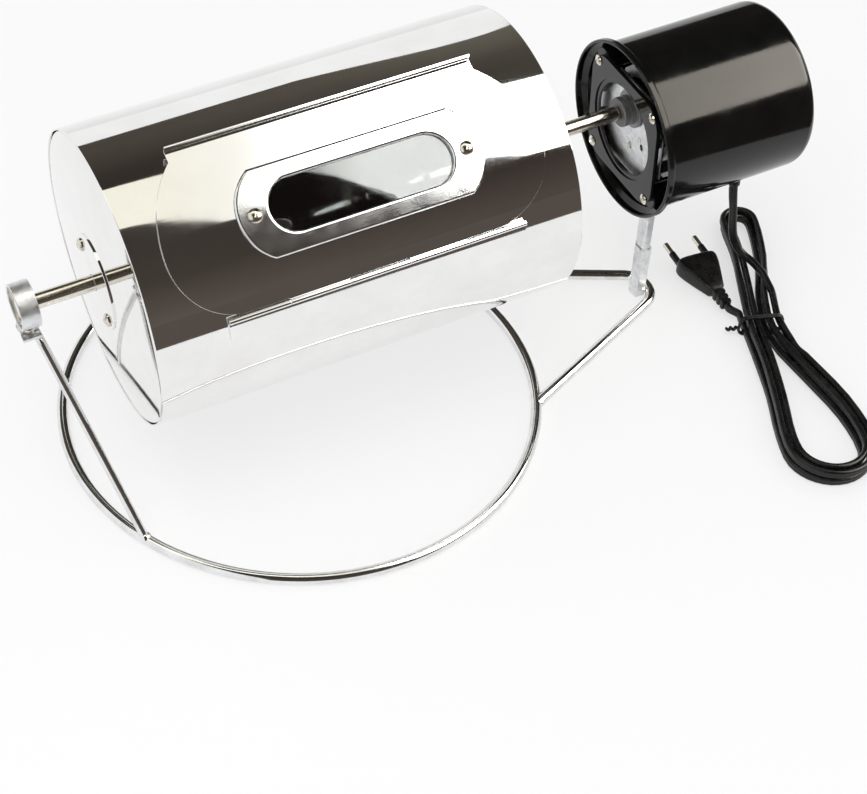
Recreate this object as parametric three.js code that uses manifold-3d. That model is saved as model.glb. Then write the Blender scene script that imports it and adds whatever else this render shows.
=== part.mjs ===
// Home coffee bean roaster: a polished drum with a hinged loading door on a bent-wire stand,
// turned by a geared motor.
// Millimetres, +Z up, the drum's axis along X with the motor at +X and the door towards -Y.
// The origin is the middle of the footprint, on the surface that the base ring stands on.
import * as THREE from 'three';
import { mergeVertices } from 'three/addons/utils/BufferGeometryUtils.js';
import Module from 'manifold-3d';

const wasm = await Module();
wasm.setup();

// Shared clearances
const gap = 0.3; // between neighbouring pieces
const overrun = 5; // how far a cutter runs past the piece that it cuts
const sheet = 1; // polished sheet steel

// Facets of round surfaces
const rodFacets = 20;
const screwFacets = 10;
const knuckleFacets = 12;
const plateCurve = 4;
const wireSides = 8;
const hairpinSteps = 8;
const domeSteps = 3;
const coverCornerSteps = 3;

// Drive line: drum, shafts and motor lie on one axis, which rises a little towards the motor
const tiltAngle = THREE.MathUtils.degToRad(2.5);
const axisHeight = 131.5;
const shaftRadius = 4;

// Drum
const drumRadius = 75;
const drumLength = 221.8;
const drumFacets = 48;
const domeRise = 4.4;
const rimInset = 0.3;
const skirtDepth = 8;
const openingLength = 150;
const openingHeight = 62;
const openingCorner = 12;
const vaneCount = 3;
const vaneLength = 180;
const vaneHeight = 12;
const vaneFoot = 8;
const vaneStartAngle = THREE.MathUtils.degToRad(170);

// Flanges and shafts of the drum
const flangeRadius = 24.5;
const flangeThickness = 2.2;
const flangeScrewSpacing = 38.3;
const shaftHeadRadius = 8;
const shaftHeadThickness = 2;

// Door, drawn unrolled: x along the drum, s along its surface, from the middle of the door
const doorAngle = THREE.MathUtils.degToRad(48.2);
const doorHalfLength = 96.5;
const doorWideS = -7;
const doorUpperCorner = 60.5;
const doorLowerCorner = 34;
const doorTopS = 43.5;
const lipHalfLength = 78;
const lipHeight = 6;
const hingeAngle = THREE.MathUtils.degToRad(15.3);
const hingeShift = 2;
const hingeLength = 154.6;
const knuckleCount = 5;
const knuckleRadius = 1.7;
const knuckleGap = 0.4;
const tabOverlap = 1;
const pinRadius = 0.8;
const leafHeight = 9;
const leafSetback = 2.5;

// Window in the door
const windowShift = 3.7;
const windowStraight = 68;
const windowRadius = 12.6;
const frameThickness = 1.2;
const frameHalfHeight = 21.4;
const frameStraight = 101.6;
const frameEndBulge = 11.7;
const glassMargin = 2.7;
const backFrameHalfLength = 66;
const backFrameHalfHeight = 24;
const windowScrewSpacing = 108;

// Domed screws of the window and the flanges
const screwHeadRadius = 3.5;
const screwHeadHeight = 2.1;
const screwShankRadius = 1.5;
const domeShares = [0.85, 0.6, 0.3]; // of the head's height, radius and height

// Door catch: a magnet under the lip, inside the drum
const catchLength = 20;
const catchWidth = 5;
const catchThickness = 3;

// Left bearing and the strap that holds it
const bearingX = -151;
const shaftSetback = 1; // of the shaft's end in the strap
const bearingWidth = 7;
const bearingOuterRadius = 10.7;
const outerRaceThickness = 2.2;
const innerRaceThickness = 1.7;
const ballCount = 7;
const ballRadius = 0.9;
const cageThickness = 0.7;
const cageWidth = 3;
const bandWidth = 11;
const bandThickness = 1.5;
const earSpacing = 2.4;
const earThickness = 1.2;
const earDrop = 7;
const footHalfWidth = 6;
const bandScrewRadius = 1.2;
const bandScrewHead = 2.4;

// Base: a wire ring and a wire fork, both flat on the surface
const baseWire = 6;
const ringRadius = 127.7;
const ringX = -7;
const ringFacets = 56;
const forkFootHalfSpread = 58;
const forkTipX = 211.8;
const forkBend = 14.5;

// Legs: one hairpin of thinner wire from the ring up to the bearing strap
const legWire = 4.5;
const legFootHalfSpread = 60;
const legBend = 6;
const legTopInset = 3;

// Motor upright: a folded channel inside the fork's bend
const uprightWidth = 8.5;
const uprightWall = 1.5;
const uprightLift = 0.4;
const uprightDepth = 6.2;
const uprightStepHeight = 37;
const uprightStepDepth = 1.3;
const uprightInsert = 24;
const uprightScrewRadius = 1.25;
const uprightScrewHead = 2.3;
const uprightScrewEdge = 3.4;

// Motor cover: an open cup, its axis below the output shaft
const motorDrop = 12.6;
const coverFrontX = 177.8;
const coverBackX = 269.2;
const coverRadius = 45.85;
const coverLipRadius = 49;
const coverLipWidth = 3.5;
const coverLipSlope = 2;
const coverWall = 1.6;
const coverCorner = 6;
const coverFacets = 32;
const bossRadius = 6.2;
const bossLength = 16;

// Adapter plate in the mouth of the cover
const adapterSize = 66;
const adapterCorner = 14;
const adapterThickness = 2.5;
const adapterSetback = 0.6;
const adapterHoleRadius = 25.5;
const adapterStepRadius = 28;
const adapterStepDepth = 1;
const adapterScrewSpacing = 54.6;
const adapterScrewHead = 3;
const adapterScrewHeadHeight = 1.6;
const adapterScrewShank = 1.25;
const adapterScrewLength = 12;

// Gearbox; its plates are cut at the corners, where y and z add up to the reach
const gearPlateX = 184;
const gearPlateThickness = 1.3;
const gearPlateHalfWidth = 31;
const gearPlateHalfHeight = 29;
const gearPlateChamferReach = 44;
const gearRoom = 12.7;
const postSpacingY = 54;
const postSpacingZ = 18;
const postRadius = 3;
const postNeckRadius = 2;
const postTail = 4;
const bushRadius = 8;
const bushFrontX = 175.1;
const bushFlangeRadius = 10.5;
const bushFlangeThickness = 1.5;
const outputRadius = 2.7;
const outputSpacerWall = 1;
const sleeveDepth = 26;
const sleeveGap = 0.6;
const setScrewX = 156.7;
const setScrewRadius = 1.5;
const setScrewRise = 2;

// Gear train, module and tooth counts
const gearModule = 0.6;
const pinionTeeth = 8;
const wheelTeeth = 40;
const outputTeeth = 50;
const tipShare = 0.12; // of the pitch, the width of a tooth's tip
const addendumShare = 0.8; // of the module
const dedendumShare = 1.1; // of the module
const gearWidth = 3;
const gearLayer = 4;
const arborRadius = 1.5;
const gearBDirection = THREE.MathUtils.degToRad(236.3);
const gearADirection = THREE.MathUtils.degToRad(312.4);
const rotorDirection = THREE.MathUtils.degToRad(90);

// Motor: laminated stator with one coil, and its rotor
const statorLength = 16;
const statorGap = 15;
const bracketGap = 8;
const rotorRadius = 10;
const airGap = 0.5;
const statorHalfWidth = 30;
const statorCorner = 6;
const statorTopShare = 0.6; // of the distance from rotor to plate top
const coilWindowWidth = 26;
const coilWindowHeight = 9;
const coilLimbHeight = 8;
const coilDrop = 13;
const coilThickness = 5;
const rotorArborRadius = 1.2;
const rotorArborTail = 1;
const bracketThickness = 1.3;

// Cord: flat twin flex
const cordWidth = 5.2;
const cordThickness = 3.4;
const reliefX = 258;
const reliefTopRadius = 5.5;
const reliefBottomRadius = 3.4;
const reliefLength = 22;
const reliefCollar = 2;

// Hank: loops drawn in at a waist, lying on the surface beside the stand
const hankWaist = [250.8, -59.3];
const hankHeading = THREE.MathUtils.degToRad(72.5);
const hankUpperReach = 101;
const hankLowerReach = 118;
const hankUpperHalfWidth = 13;
const hankLowerHalfWidth = 24.5;
const hankWaistHalfWidth = 9.2;
const hankPitch = 4.6;
const hankLayer = 5.8;
const hankSway = 12;
const hankSwayReach = 45;
const hankRest = 2.7;
const hankLift = 2.4;
const hankLiftReach = 45;
const hankStartPhase = 7;
const hankLoops = 3.475;
const loopSteps = 24;
const arcSteps = 3;
const cordSides = 6;
const tieWire = 1.5;
const tieClearance = 0.6;
const tieRoom = 1.6;
const tieCornerShare = 0.4; // of the tie's half height

// Plug: flat two-pin, lying on the surface with its pins away from the hank
const plugTail = [243.2, -36, 6];
const plugNose = [245.6, 3, 7];
const plugHalfWidth = 12.5;
const plugHalfThickness = 6.5;
const plugReliefLength = 20;
const plugShoulder = 9;
const plugPinSpacing = 19;
const plugPinRadius = 2;
const plugPinLength = 19;
const plugEdge = 1;
const plugNeckHalfWidth = 3.06;
const plugNeckHalfThickness = 3.4;

// Route of the lead between the strain relief and the hank, points chosen by hand
const leadRoute = [
  [262, -1.4, 50], [262.3, -3, 43], [262.4, -4.2, 36], [263, -5.2, 29.5], [264.4, -6.6, 23.5],
  [266.4, -9, 18.6], [268.6, -12.8, 15.8], [270.2, -18, 15.2], [270.4, -24.5, 15.2], [269.6, -31, 16],
  [268.1, -37.5, 15.9], [266.8, -44.5, 15], [264, -52.5, 12.8], [261, -60.2, 11.7], [259.4, -68, 10.9],
  [258.4, -77, 10], [257.7, -86, 9.2],
];

// Finishes
const finishes = {
  mirrorSteel: { color: 0xd9d8d6, roughness: 0.06, metalness: 1 },
  wireChrome: { color: 0xcfd1d3, roughness: 0.12, metalness: 1 },
  shaftSteel: { color: 0xb9b3a6, roughness: 0.28, metalness: 1 },
  zinc: { color: 0xb4b7ba, roughness: 0.42, metalness: 1 },
  blackPlastic: { color: 0x0b0b0c, roughness: 0.18, metalness: 0 },
  blackMetal: { color: 0x141416, roughness: 0.35, metalness: 0.6 },
  brass: { color: 0xb08d4a, roughness: 0.35, metalness: 1 },
  laminations: { color: 0x6c6f73, roughness: 0.55, metalness: 0.9 },
  coilTape: { color: 0x8a5a20, roughness: 0.6, metalness: 0 },
  gearNylon: { color: 0xd8d4c8, roughness: 0.5, metalness: 0 },
  glass: { color: 0xdfe8e8, roughness: 0.03, metalness: 0, transparent: true, opacity: 0.35 },
  cordBlack: { color: 0x101011, roughness: 0.4, metalness: 0 },
  magnet: { color: 0x3a3b3d, roughness: 0.5, metalness: 0.7 },
};

// Solids

const axisX = new THREE.Vector3(1, 0, 0);
const axisY = new THREE.Vector3(0, 1, 0);
const axisZ = new THREE.Vector3(0, 0, 1);

// A closed solid from a geometry, with its faces turned outwards.
function solid(geometry) {
  const bare = geometry.clone();
  bare.deleteAttribute('normal');
  bare.deleteAttribute('uv');
  const merged = mergeVertices(bare);
  const triVerts = new Uint32Array(merged.index.array);
  const vertProperties = new Float32Array(merged.attributes.position.array);
  const made = new wasm.Manifold(new wasm.Mesh({ numProp: 3, vertProperties, triVerts }));
  if (made.volume() >= 0) return made;
  for (let i = 0; i < triVerts.length; i += 3) {
    [triVerts[i + 1], triVerts[i + 2]] = [triVerts[i + 2], triVerts[i + 1]];
  }
  return new wasm.Manifold(new wasm.Mesh({ numProp: 3, vertProperties, triVerts }));
}

function geometryOf(made) {
  const { vertProperties, triVerts } = made.getMesh();
  const geometry = new THREE.BufferGeometry();
  geometry.setAttribute('position', new THREE.BufferAttribute(vertProperties, 3));
  geometry.setIndex(new THREE.BufferAttribute(triVerts, 1));
  const flat = geometry.toNonIndexed();
  flat.computeVertexNormals();
  return flat;
}

const joined = (first, ...others) => others.reduce((sum, other) => sum.add(other), first);
const without = (first, ...cutters) => cutters.reduce((rest, cutter) => rest.subtract(cutter), first);

function piece(name, shape, finish) {
  const geometry = shape.isBufferGeometry ? geometryOf(solid(shape)) : geometryOf(shape);
  const mesh = new THREE.Mesh(geometry, new THREE.MeshStandardMaterial(finishes[finish]));
  mesh.name = name;
  return mesh;
}

// A profile of [x, radius] points turned about the X axis; it closes on itself.
function turned(profile, facets) {
  const points = [...profile, profile[0]].map(([x, radius]) => new THREE.Vector2(radius, x));
  const toX = new THREE.Matrix4().makeBasis(axisZ, axisX, axisY);
  return solid(new THREE.LatheGeometry(points, facets).applyMatrix4(toX));
}

// A rod or tube along X.
function rod(fromX, toX, radius, bore = 0, facets = rodFacets) {
  return turned([[fromX, bore], [toX, bore], [toX, radius], [fromX, radius]], facets);
}

// A shape drawn in Y and Z and given a thickness along X.
function plate(shape, fromX, toX) {
  const geometry = new THREE.ExtrudeGeometry(shape, {
    depth: toX - fromX, bevelEnabled: false, curveSegments: plateCurve,
  });
  geometry.applyMatrix4(new THREE.Matrix4().makeBasis(axisY, axisZ, axisX));
  return solid(geometry.translate(fromX, 0, 0));
}

// Moved by y and z.
const at = (made, y, z) => made.translate([0, y, z]);

function box(lowX, highX, lowY, highY, lowZ, highZ) {
  const geometry = new THREE.BoxGeometry(highX - lowX, highY - lowY, highZ - lowZ);
  return solid(geometry.translate((lowX + highX) / 2, (lowY + highY) / 2, (lowZ + highZ) / 2));
}

function polygon(points) {
  return new THREE.Shape(points.map(([x, y]) => new THREE.Vector2(x, y)));
}

function roundedRectangle(halfWidth, halfHeight, corner) {
  const shape = new THREE.Shape();
  const quarter = Math.PI / 2;
  shape.absarc(halfWidth - corner, halfHeight - corner, corner, 0, quarter);
  shape.absarc(corner - halfWidth, halfHeight - corner, corner, quarter, 2 * quarter);
  shape.absarc(corner - halfWidth, corner - halfHeight, corner, 2 * quarter, 3 * quarter);
  shape.absarc(halfWidth - corner, corner - halfHeight, corner, 3 * quarter, 4 * quarter);
  shape.closePath();
  return shape;
}

// A route whose rings lie exactly on its points.
class Route extends THREE.Curve {
  constructor(points) {
    super();
    this.points = points;
  }
  getPoint(t, target = new THREE.Vector3()) {
    const place = t * (this.points.length - 1);
    const index = Math.min(Math.floor(place), this.points.length - 2);
    return target.lerpVectors(this.points[index], this.points[index + 1], place - index);
  }
  getPointAt(u, target) {
    return this.getPoint(u, target);
  }
  getTangentAt(u, target = new THREE.Vector3()) {
    const last = this.points.length - 1;
    const index = Math.round(u * last);
    const before = this.points[Math.max(index - 1, 0)];
    const after = this.points[Math.min(index + 1, last)];
    return target.subVectors(after, before).normalize();
  }
}

// A wire of round section, its flats at distance radius from the middle, along a list of points.
function wire(points, radius, sides = wireSides) {
  const reach = radius / Math.cos(Math.PI / sides);
  const section = [...Array(sides).keys()].map((side) => {
    const angle = ((side + 1 / 2) * 2 * Math.PI) / sides;
    return [reach * Math.cos(angle), reach * Math.sin(angle)];
  });
  const route = new Route(points);
  return solid(new THREE.ExtrudeGeometry(polygon(section), {
    steps: points.length - 1, extrudePath: route, bevelEnabled: false,
  }));
}

// A hairpin in its own plane, [across, along] points: two straight legs and a round bend at full reach.
function hairpin(halfSpread, reach, bend) {
  const centre = reach - bend;
  const footDirection = Math.atan2(-centre, halfSpread);
  const first = footDirection + Math.acos(bend / Math.hypot(halfSpread, centre));
  const points = [[halfSpread, 0]];
  for (let step = 0; step <= hairpinSteps; step++) {
    const angle = first + ((Math.PI - 2 * first) * step) / hairpinSteps;
    points.push([bend * Math.cos(angle), centre + bend * Math.sin(angle)]);
  }
  points.push([-halfSpread, 0]);
  return points;
}

// Domed screw pointing along -X, its seat at x = 0.
function domedScrew(headRadius, headHeight, shankRadius, shankLength) {
  return turned([
    [-shankLength, 0], [headHeight, 0], [headHeight * domeShares[0], headRadius * domeShares[1]],
    [headHeight * domeShares[2], headRadius], [0, headRadius], [0, shankRadius], [-shankLength, shankRadius],
  ], screwFacets);
}

// Drum and end plates

const drumHalf = drumLength / 2;
const shellBore = drumRadius - sheet;
const plateRadius = shellBore - gap;
const plateRimX = drumHalf - rimInset;
const domeX = (radius) => plateRimX + domeRise * (1 - (radius / plateRadius) ** 2);
const shaftHole = shaftRadius + gap;

// Directions about the drum axis: outwards and along the surface at an angle from -Y up towards +Z.
const outwards = (angle) => new THREE.Vector3(0, -Math.cos(angle), Math.sin(angle));
const upwards = (angle) => new THREE.Vector3(0, Math.sin(angle), Math.cos(angle));
const facing = (angle) => new THREE.Matrix4().makeBasis(axisX, upwards(angle), outwards(angle));

// A prism through the drum wall whose outline is drawn on the unrolled surface around an angle.
function prismAt(angle, outline) {
  const points = outline.getPoints(plateCurve);
  const flat = points.map(({ x, y }) => [x, drumRadius * Math.sin(y / drumRadius)]);
  const geometry = new THREE.ExtrudeGeometry(polygon(flat), { depth: drumRadius, bevelEnabled: false });
  return solid(geometry.translate(0, 0, drumRadius / 2).applyMatrix4(facing(angle)));
}

// A sheet curved about the drum axis, from radius inner to outer, inside an outline.
function curvedSheet(angle, outline, inner, outer) {
  const ring = rod(-drumHalf, drumHalf, outer, inner, drumFacets);
  return ring.intersect(prismAt(angle, outline));
}

const openingOutline = roundedRectangle(openingLength / 2, openingHeight / 2, openingCorner);
const shell = without(
  rod(-drumHalf, drumHalf, drumRadius, shellBore, drumFacets),
  prismAt(doorAngle, openingOutline),
);

// Screws of a flange, on a line square to the door's direction.
const flangeScrewPlaces = [-1, 1].map((side) => (
  upwards(doorAngle).multiplyScalar((side * flangeScrewSpacing) / 2)
));
const flangeFaceX = domeX(0) + gap;

function endPlate() {
  const radii = [...Array(domeSteps + 1).keys()].map((step) => (
    shaftHole + ((plateRadius - shaftHole) * step) / domeSteps
  ));
  const outer = radii.map((radius) => [domeX(radius), radius]);
  const inner = radii.map((radius) => [domeX(radius) - sheet, Math.min(radius, plateRadius - sheet)]);
  const skirtX = plateRimX - skirtDepth;
  const profile = [...outer, [skirtX, plateRadius], [skirtX, plateRadius - sheet], ...inner.reverse()];
  const holes = flangeScrewPlaces.map(({ y, z }) => (
    at(rod(drumHalf - overrun, flangeFaceX + overrun, screwShankRadius + gap), y, z)
  ));
  return without(turned(profile, drumFacets), ...holes);
}

function flange() {
  const holes = flangeScrewPlaces.map(({ y, z }) => (
    at(rod(drumHalf, flangeFaceX + overrun, screwShankRadius + gap), y, z)
  ));
  const disc = rod(flangeFaceX, flangeFaceX + flangeThickness, flangeRadius, shaftHole, coverFacets);
  return without(disc, ...holes);
}

const flangeScrewSeat = flangeFaceX + flangeThickness + gap;
const flangeScrewLength = flangeScrewSeat - plateRimX + sheet;

// A piece of the right end turned round to the left end.
const leftwards = (made) => made.mirror([1, 0, 0]);

// Shafts: a head behind each end plate, the left one in the bearing, the right one a sleeve on the output shaft
const headX = domeX(shaftHeadRadius) - sheet - gap;
const bandHalf = bandWidth / 2;
const leftShaftEnd = bearingX - bandHalf + shaftSetback;
const rightShaftEnd = bushFrontX - sleeveGap;
const sleeveStart = rightShaftEnd - sleeveDepth;

function headedShaft(endX) {
  const head = rod(headX - shaftHeadThickness, headX, shaftHeadRadius);
  return joined(head, rod(headX - shaftHeadThickness / 2, endX, shaftRadius));
}

const setScrewHole = solid(
  new THREE.CylinderGeometry(setScrewRadius + gap, setScrewRadius + gap, 2 * shaftRadius, screwFacets)
    .rotateX(Math.PI / 2).translate(setScrewX, 0, shaftRadius),
);
const rightShaft = without(
  headedShaft(rightShaftEnd),
  rod(sleeveStart, rightShaftEnd + overrun, outputRadius + gap),
  setScrewHole,
);
const setScrewBottom = outputRadius + gap;
const setScrewTop = shaftRadius + setScrewRise;
const setScrewLength = setScrewTop - setScrewBottom;
const setScrew = new THREE.CylinderGeometry(setScrewRadius, setScrewRadius, setScrewLength, screwFacets)
  .rotateX(Math.PI / 2).translate(setScrewX, 0, (setScrewTop + setScrewBottom) / 2);

// Mixing vanes: a foot along the wall and a blade pointing inwards
function vane(index) {
  const angle = vaneStartAngle + (index * 2 * Math.PI) / (vaneCount + 1);
  const footRadius = shellBore - gap;
  const half = vaneFoot / 2;
  const sag = footRadius - Math.sqrt(footRadius ** 2 - half ** 2);
  const top = footRadius - sag;
  const profile = polygon([
    [-half, top - sheet], [-sheet / 2, top - sheet], [-sheet / 2, top - vaneHeight],
    [sheet / 2, top - vaneHeight], [sheet / 2, top - sheet], [half, top - sheet], [half, top], [-half, top],
  ]);
  const geometry = new THREE.ExtrudeGeometry(profile, { depth: vaneLength, bevelEnabled: false });
  const stand = new THREE.Matrix4().makeBasis(upwards(angle), outwards(angle), axisX);
  return solid(geometry.translate(0, 0, -vaneLength / 2).applyMatrix4(stand));
}

// Door

const doorInner = drumRadius + gap;
const doorOuter = doorInner + sheet;
const hingeAxisRadius = drumRadius + gap + knuckleRadius;
const hingeAxis = outwards(hingeAngle).multiplyScalar(hingeAxisRadius);
const hingeS = (hingeAngle - doorAngle) * drumRadius;
const doorBottomS = hingeS + leafSetback;
const lowerCornerX = doorHalfLength - doorLowerCorner;
const upperCornerX = doorHalfLength - doorUpperCorner;
const lipCornerS = doorWideS + Math.sqrt(doorUpperCorner ** 2 - (lipHalfLength - upperCornerX) ** 2);
const lowerCornerDrop = Math.min(doorWideS - doorBottomS, doorLowerCorner);
const lowerCornerS = Math.min(doorWideS, doorBottomS + doorLowerCorner);

// The outline of the door: a straight top, two long arcs at each end and a straight bottom.
// On a larger drum the ends are straight between the two arcs.
function doorOutline() {
  const upperAngle = Math.asin((lipCornerS - doorWideS) / doorUpperCorner);
  const lowerAngle = Math.asin(lowerCornerDrop / doorLowerCorner);
  const shape = new THREE.Shape();
  shape.moveTo(lipHalfLength, doorTopS);
  shape.lineTo(-lipHalfLength, doorTopS);
  shape.absarc(-upperCornerX, doorWideS, doorUpperCorner, Math.PI - upperAngle, Math.PI, false);
  shape.absarc(-lowerCornerX, lowerCornerS, doorLowerCorner, Math.PI, Math.PI + lowerAngle, false);
  shape.absarc(lowerCornerX, lowerCornerS, doorLowerCorner, -lowerAngle, 0, false);
  shape.absarc(upperCornerX, doorWideS, doorUpperCorner, 0, upperAngle, false);
  shape.closePath();
  return shape;
}

// Stadium about the middle of the window, drawn on the unrolled door.
function stadium(halfStraight, radius) {
  const shape = new THREE.Shape();
  shape.absarc(windowShift + halfStraight, 0, radius, -Math.PI / 2, Math.PI / 2, false);
  shape.absarc(windowShift - halfStraight, 0, radius, Math.PI / 2, (3 * Math.PI) / 2, false);
  shape.closePath();
  return shape;
}

// Knuckles alternate between the leaf on the drum and the door.
const hingeStart = hingeShift - hingeLength / 2;
const hingeEnd = hingeShift + hingeLength / 2;
const knucklePitch = hingeLength / knuckleCount;
const knuckleSpan = (index) => {
  const start = hingeStart + index * knucklePitch;
  return [start + knuckleGap / 2, start + knucklePitch - knuckleGap / 2];
};
const knuckleBore = pinRadius + gap;

// Joins a hinge half's sheet to its knuckles: a tab up to the axis and a rolled barrel, bored for the pin.
function withKnuckles(sheetSolid, indices, edgeS) {
  const spans = indices.map(knuckleSpan);
  const tabs = spans.map(([from, to]) => curvedSheet(doorAngle, polygon([
    [from, Math.min(edgeS, hingeS)], [to, Math.min(edgeS, hingeS)],
    [to, Math.max(edgeS, hingeS)], [from, Math.max(edgeS, hingeS)],
  ]), doorInner, doorOuter));
  const barrels = spans.map(([from, to]) => at(
    rod(from, to, knuckleRadius, 0, knuckleFacets), hingeAxis.y, hingeAxis.z,
  ));
  const bore = at(rod(-drumHalf, drumHalf, knuckleBore, 0, knuckleFacets), hingeAxis.y, hingeAxis.z);
  return without(joined(sheetSolid, ...tabs, ...barrels), bore);
}

const everyOther = (first) => [...Array(knuckleCount).keys()].filter((index) => index % 2 === first);
const leafTopS = hingeS - leafSetback;
const leafOutline = polygon([
  [hingeStart, leafTopS - leafHeight], [hingeEnd, leafTopS - leafHeight],
  [hingeEnd, leafTopS], [hingeStart, leafTopS],
]);
const hingeLeaf = withKnuckles(
  curvedSheet(doorAngle, leafOutline, doorInner, doorOuter), everyOther(0), leafTopS - tabOverlap,
);
const hingePin = at(rod(hingeStart, hingeEnd, pinRadius, 0, wireSides), hingeAxis.y, hingeAxis.z);

const windowScrewHole = screwShankRadius + gap;
const windowScrewPlaces = [-1, 1].map((side) => windowShift + (side * windowScrewSpacing) / 2);

// A hole or a screw along the door's outward direction, at x on the middle line.
const throughDoor = (made, x) => {
  const toDoor = new THREE.Matrix4().makeBasis(outwards(doorAngle), axisX, upwards(doorAngle));
  return made.transform(toDoor.setPosition(x, 0, 0).toArray());
};
const doorScrewHoles = () => windowScrewPlaces.map((x) => (
  throughDoor(rod(drumRadius / 2, drumRadius * 2, windowScrewHole), x)
));

function doorPanel() {
  const lip = box(
    -lipHalfLength, lipHalfLength, -sheet, 0, doorInner, doorInner + lipHeight,
  ).transform(facing(doorAngle + doorTopS / drumRadius).toArray());
  const body = joined(curvedSheet(doorAngle, doorOutline(), doorInner, doorOuter), lip);
  const hung = withKnuckles(body, everyOther(1), doorBottomS + tabOverlap);
  const glassHole = prismAt(doorAngle, stadium(windowStraight / 2, windowRadius + glassMargin + gap));
  return without(hung, glassHole, ...doorScrewHoles());
}

function windowFrame() {
  const half = frameStraight / 2;
  const endRadius = (frameHalfHeight ** 2 + frameEndBulge ** 2) / (2 * frameEndBulge);
  const endAngle = Math.asin(frameHalfHeight / endRadius);
  const endX = half + frameEndBulge - endRadius;
  const shape = new THREE.Shape();
  shape.absarc(windowShift + endX, 0, endRadius, -endAngle, endAngle, false);
  shape.absarc(windowShift - endX, 0, endRadius, Math.PI - endAngle, Math.PI + endAngle, false);
  shape.closePath();
  const inner = doorOuter + gap;
  return without(
    curvedSheet(doorAngle, shape, inner, inner + frameThickness),
    prismAt(doorAngle, stadium(windowStraight / 2, windowRadius)),
    ...doorScrewHoles(),
  );
}

const windowGlass = curvedSheet(
  doorAngle, stadium(windowStraight / 2, windowRadius + glassMargin), doorInner, doorOuter,
);

const backFrameOuter = doorInner - gap;
function windowBackFrame() {
  const outline = roundedRectangle(backFrameHalfLength, backFrameHalfHeight, openingCorner);
  return without(
    curvedSheet(doorAngle, outline, backFrameOuter - sheet, backFrameOuter),
    prismAt(doorAngle, stadium(windowStraight / 2, windowRadius)),
    ...doorScrewHoles(),
  );
}

const windowScrewSeat = doorOuter + frameThickness + 2 * gap;
const windowScrewLength = windowScrewSeat - backFrameOuter + 2 * sheet;

// The catch magnet hangs under the wall, just above the opening.
function doorCatch() {
  const centreS = (openingHeight / 2 + doorTopS) / 2;
  const angle = doorAngle + centreS / drumRadius;
  const half = catchWidth / 2;
  const top = Math.sqrt((shellBore - gap) ** 2 - half ** 2);
  return box(-catchLength / 2, catchLength / 2, -half, half, top - catchThickness, top)
    .transform(facing(angle).toArray());
}

// Bearing and its strap

const bearingHalf = bearingWidth / 2;
const innerRaceOuter = shaftHole + innerRaceThickness;
const outerRaceInner = bearingOuterRadius - outerRaceThickness;
const ballCircle = (innerRaceOuter + outerRaceInner) / 2;
const aroundBearing = (outer, inner, width) => (
  rod(bearingX - width / 2, bearingX + width / 2, outer, inner, rodFacets)
);

function bearingCage() {
  const balls = [...Array(ballCount).keys()].map((index) => {
    const angle = (index * 2 * Math.PI) / ballCount;
    const ball = solid(new THREE.IcosahedronGeometry(ballRadius));
    return ball.translate([bearingX, ballCircle * Math.cos(angle), ballCircle * Math.sin(angle)]);
  });
  const half = cageThickness / 2;
  return joined(aroundBearing(ballCircle + half, ballCircle - half, cageWidth), ...balls);
}

const bandBore = bearingOuterRadius + gap;
const bandRadius = bandBore + bandThickness;
const earInner = earSpacing / 2;
const earOuter = earInner + earThickness;
const earBottom = -bandRadius - earDrop;
const bandScrewZ = -bandRadius - earDrop / 2 + earThickness / 2;
const bandScrewTurn = new THREE.Matrix4().makeBasis(axisY, axisZ, axisX);

// Strap round the bearing: its ends run down side by side and turn outwards into a foot.
function bearingBand() {
  const from = bearingX - bandHalf;
  const to = bearingX + bandHalf;
  const slot = box(from - overrun, to + overrun, -earInner, earInner, -bandRadius - overrun, -bandBore / 2);
  const ring = without(aroundBearing(bandRadius, bandBore, bandWidth), slot);
  const sides = [-1, 1].map((side) => {
    const [low, high] = side < 0 ? [-earOuter, -earInner] : [earInner, earOuter];
    const [footLow, footHigh] = side < 0 ? [-footHalfWidth, -earInner] : [earInner, footHalfWidth];
    const ear = without(
      box(from, to, low, high, earBottom, -bandBore + bandThickness),
      aroundBearing(bandBore, 0, bandWidth + overrun),
    );
    return joined(ear, box(from, to, footLow, footHigh, earBottom, earBottom + earThickness));
  });
  const hole = rod(-footHalfWidth, footHalfWidth, bandScrewRadius + gap, 0, screwFacets)
    .transform(bandScrewTurn.clone().setPosition(bearingX, 0, bandScrewZ).toArray());
  return without(joined(ring, ...sides), hole);
}

const bandScrew = domedScrew(bandScrewHead, bandScrewHead / 2, bandScrewRadius, 2 * earOuter + earThickness)
  .transform(new THREE.Matrix4().makeBasis(axisY.clone().negate(), axisZ.clone().negate(), axisX)
    .setPosition(bearingX, -earOuter - gap, bandScrewZ).toArray());

// Stand

const driveFrame = new THREE.Matrix4().makeRotationY(-tiltAngle).setPosition(0, 0, axisHeight);
const standFrame = driveFrame.clone().invert();
const ringHeight = baseWire / 2;

// A ring of wire round the drum's footprint; the section has a flat at its lowest and highest.
function wireRing(radius) {
  const reach = radius / Math.cos(Math.PI / wireSides);
  const points = [...Array(wireSides + 1).keys()].map((side) => {
    const angle = (((side % wireSides) + 1 / 2) * 2 * Math.PI) / wireSides;
    return new THREE.Vector2(ringRadius + reach * Math.cos(angle), reach * Math.sin(angle));
  });
  const geometry = new THREE.LatheGeometry(points, ringFacets).rotateX(Math.PI / 2);
  return solid(geometry.translate(ringX, 0, ringHeight));
}

const ringFootX = (halfSpread) => Math.sqrt(ringRadius ** 2 - halfSpread ** 2);
const ringKeepOut = wireRing(baseWire / 2 + gap);

function baseFork() {
  const footX = ringX + ringFootX(forkFootHalfSpread);
  const points = hairpin(forkFootHalfSpread, forkTipX - footX, forkBend)
    .map(([across, along]) => new THREE.Vector3(footX + along, across, ringHeight));
  return outsideRing(wire(points, baseWire / 2));
}

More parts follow.
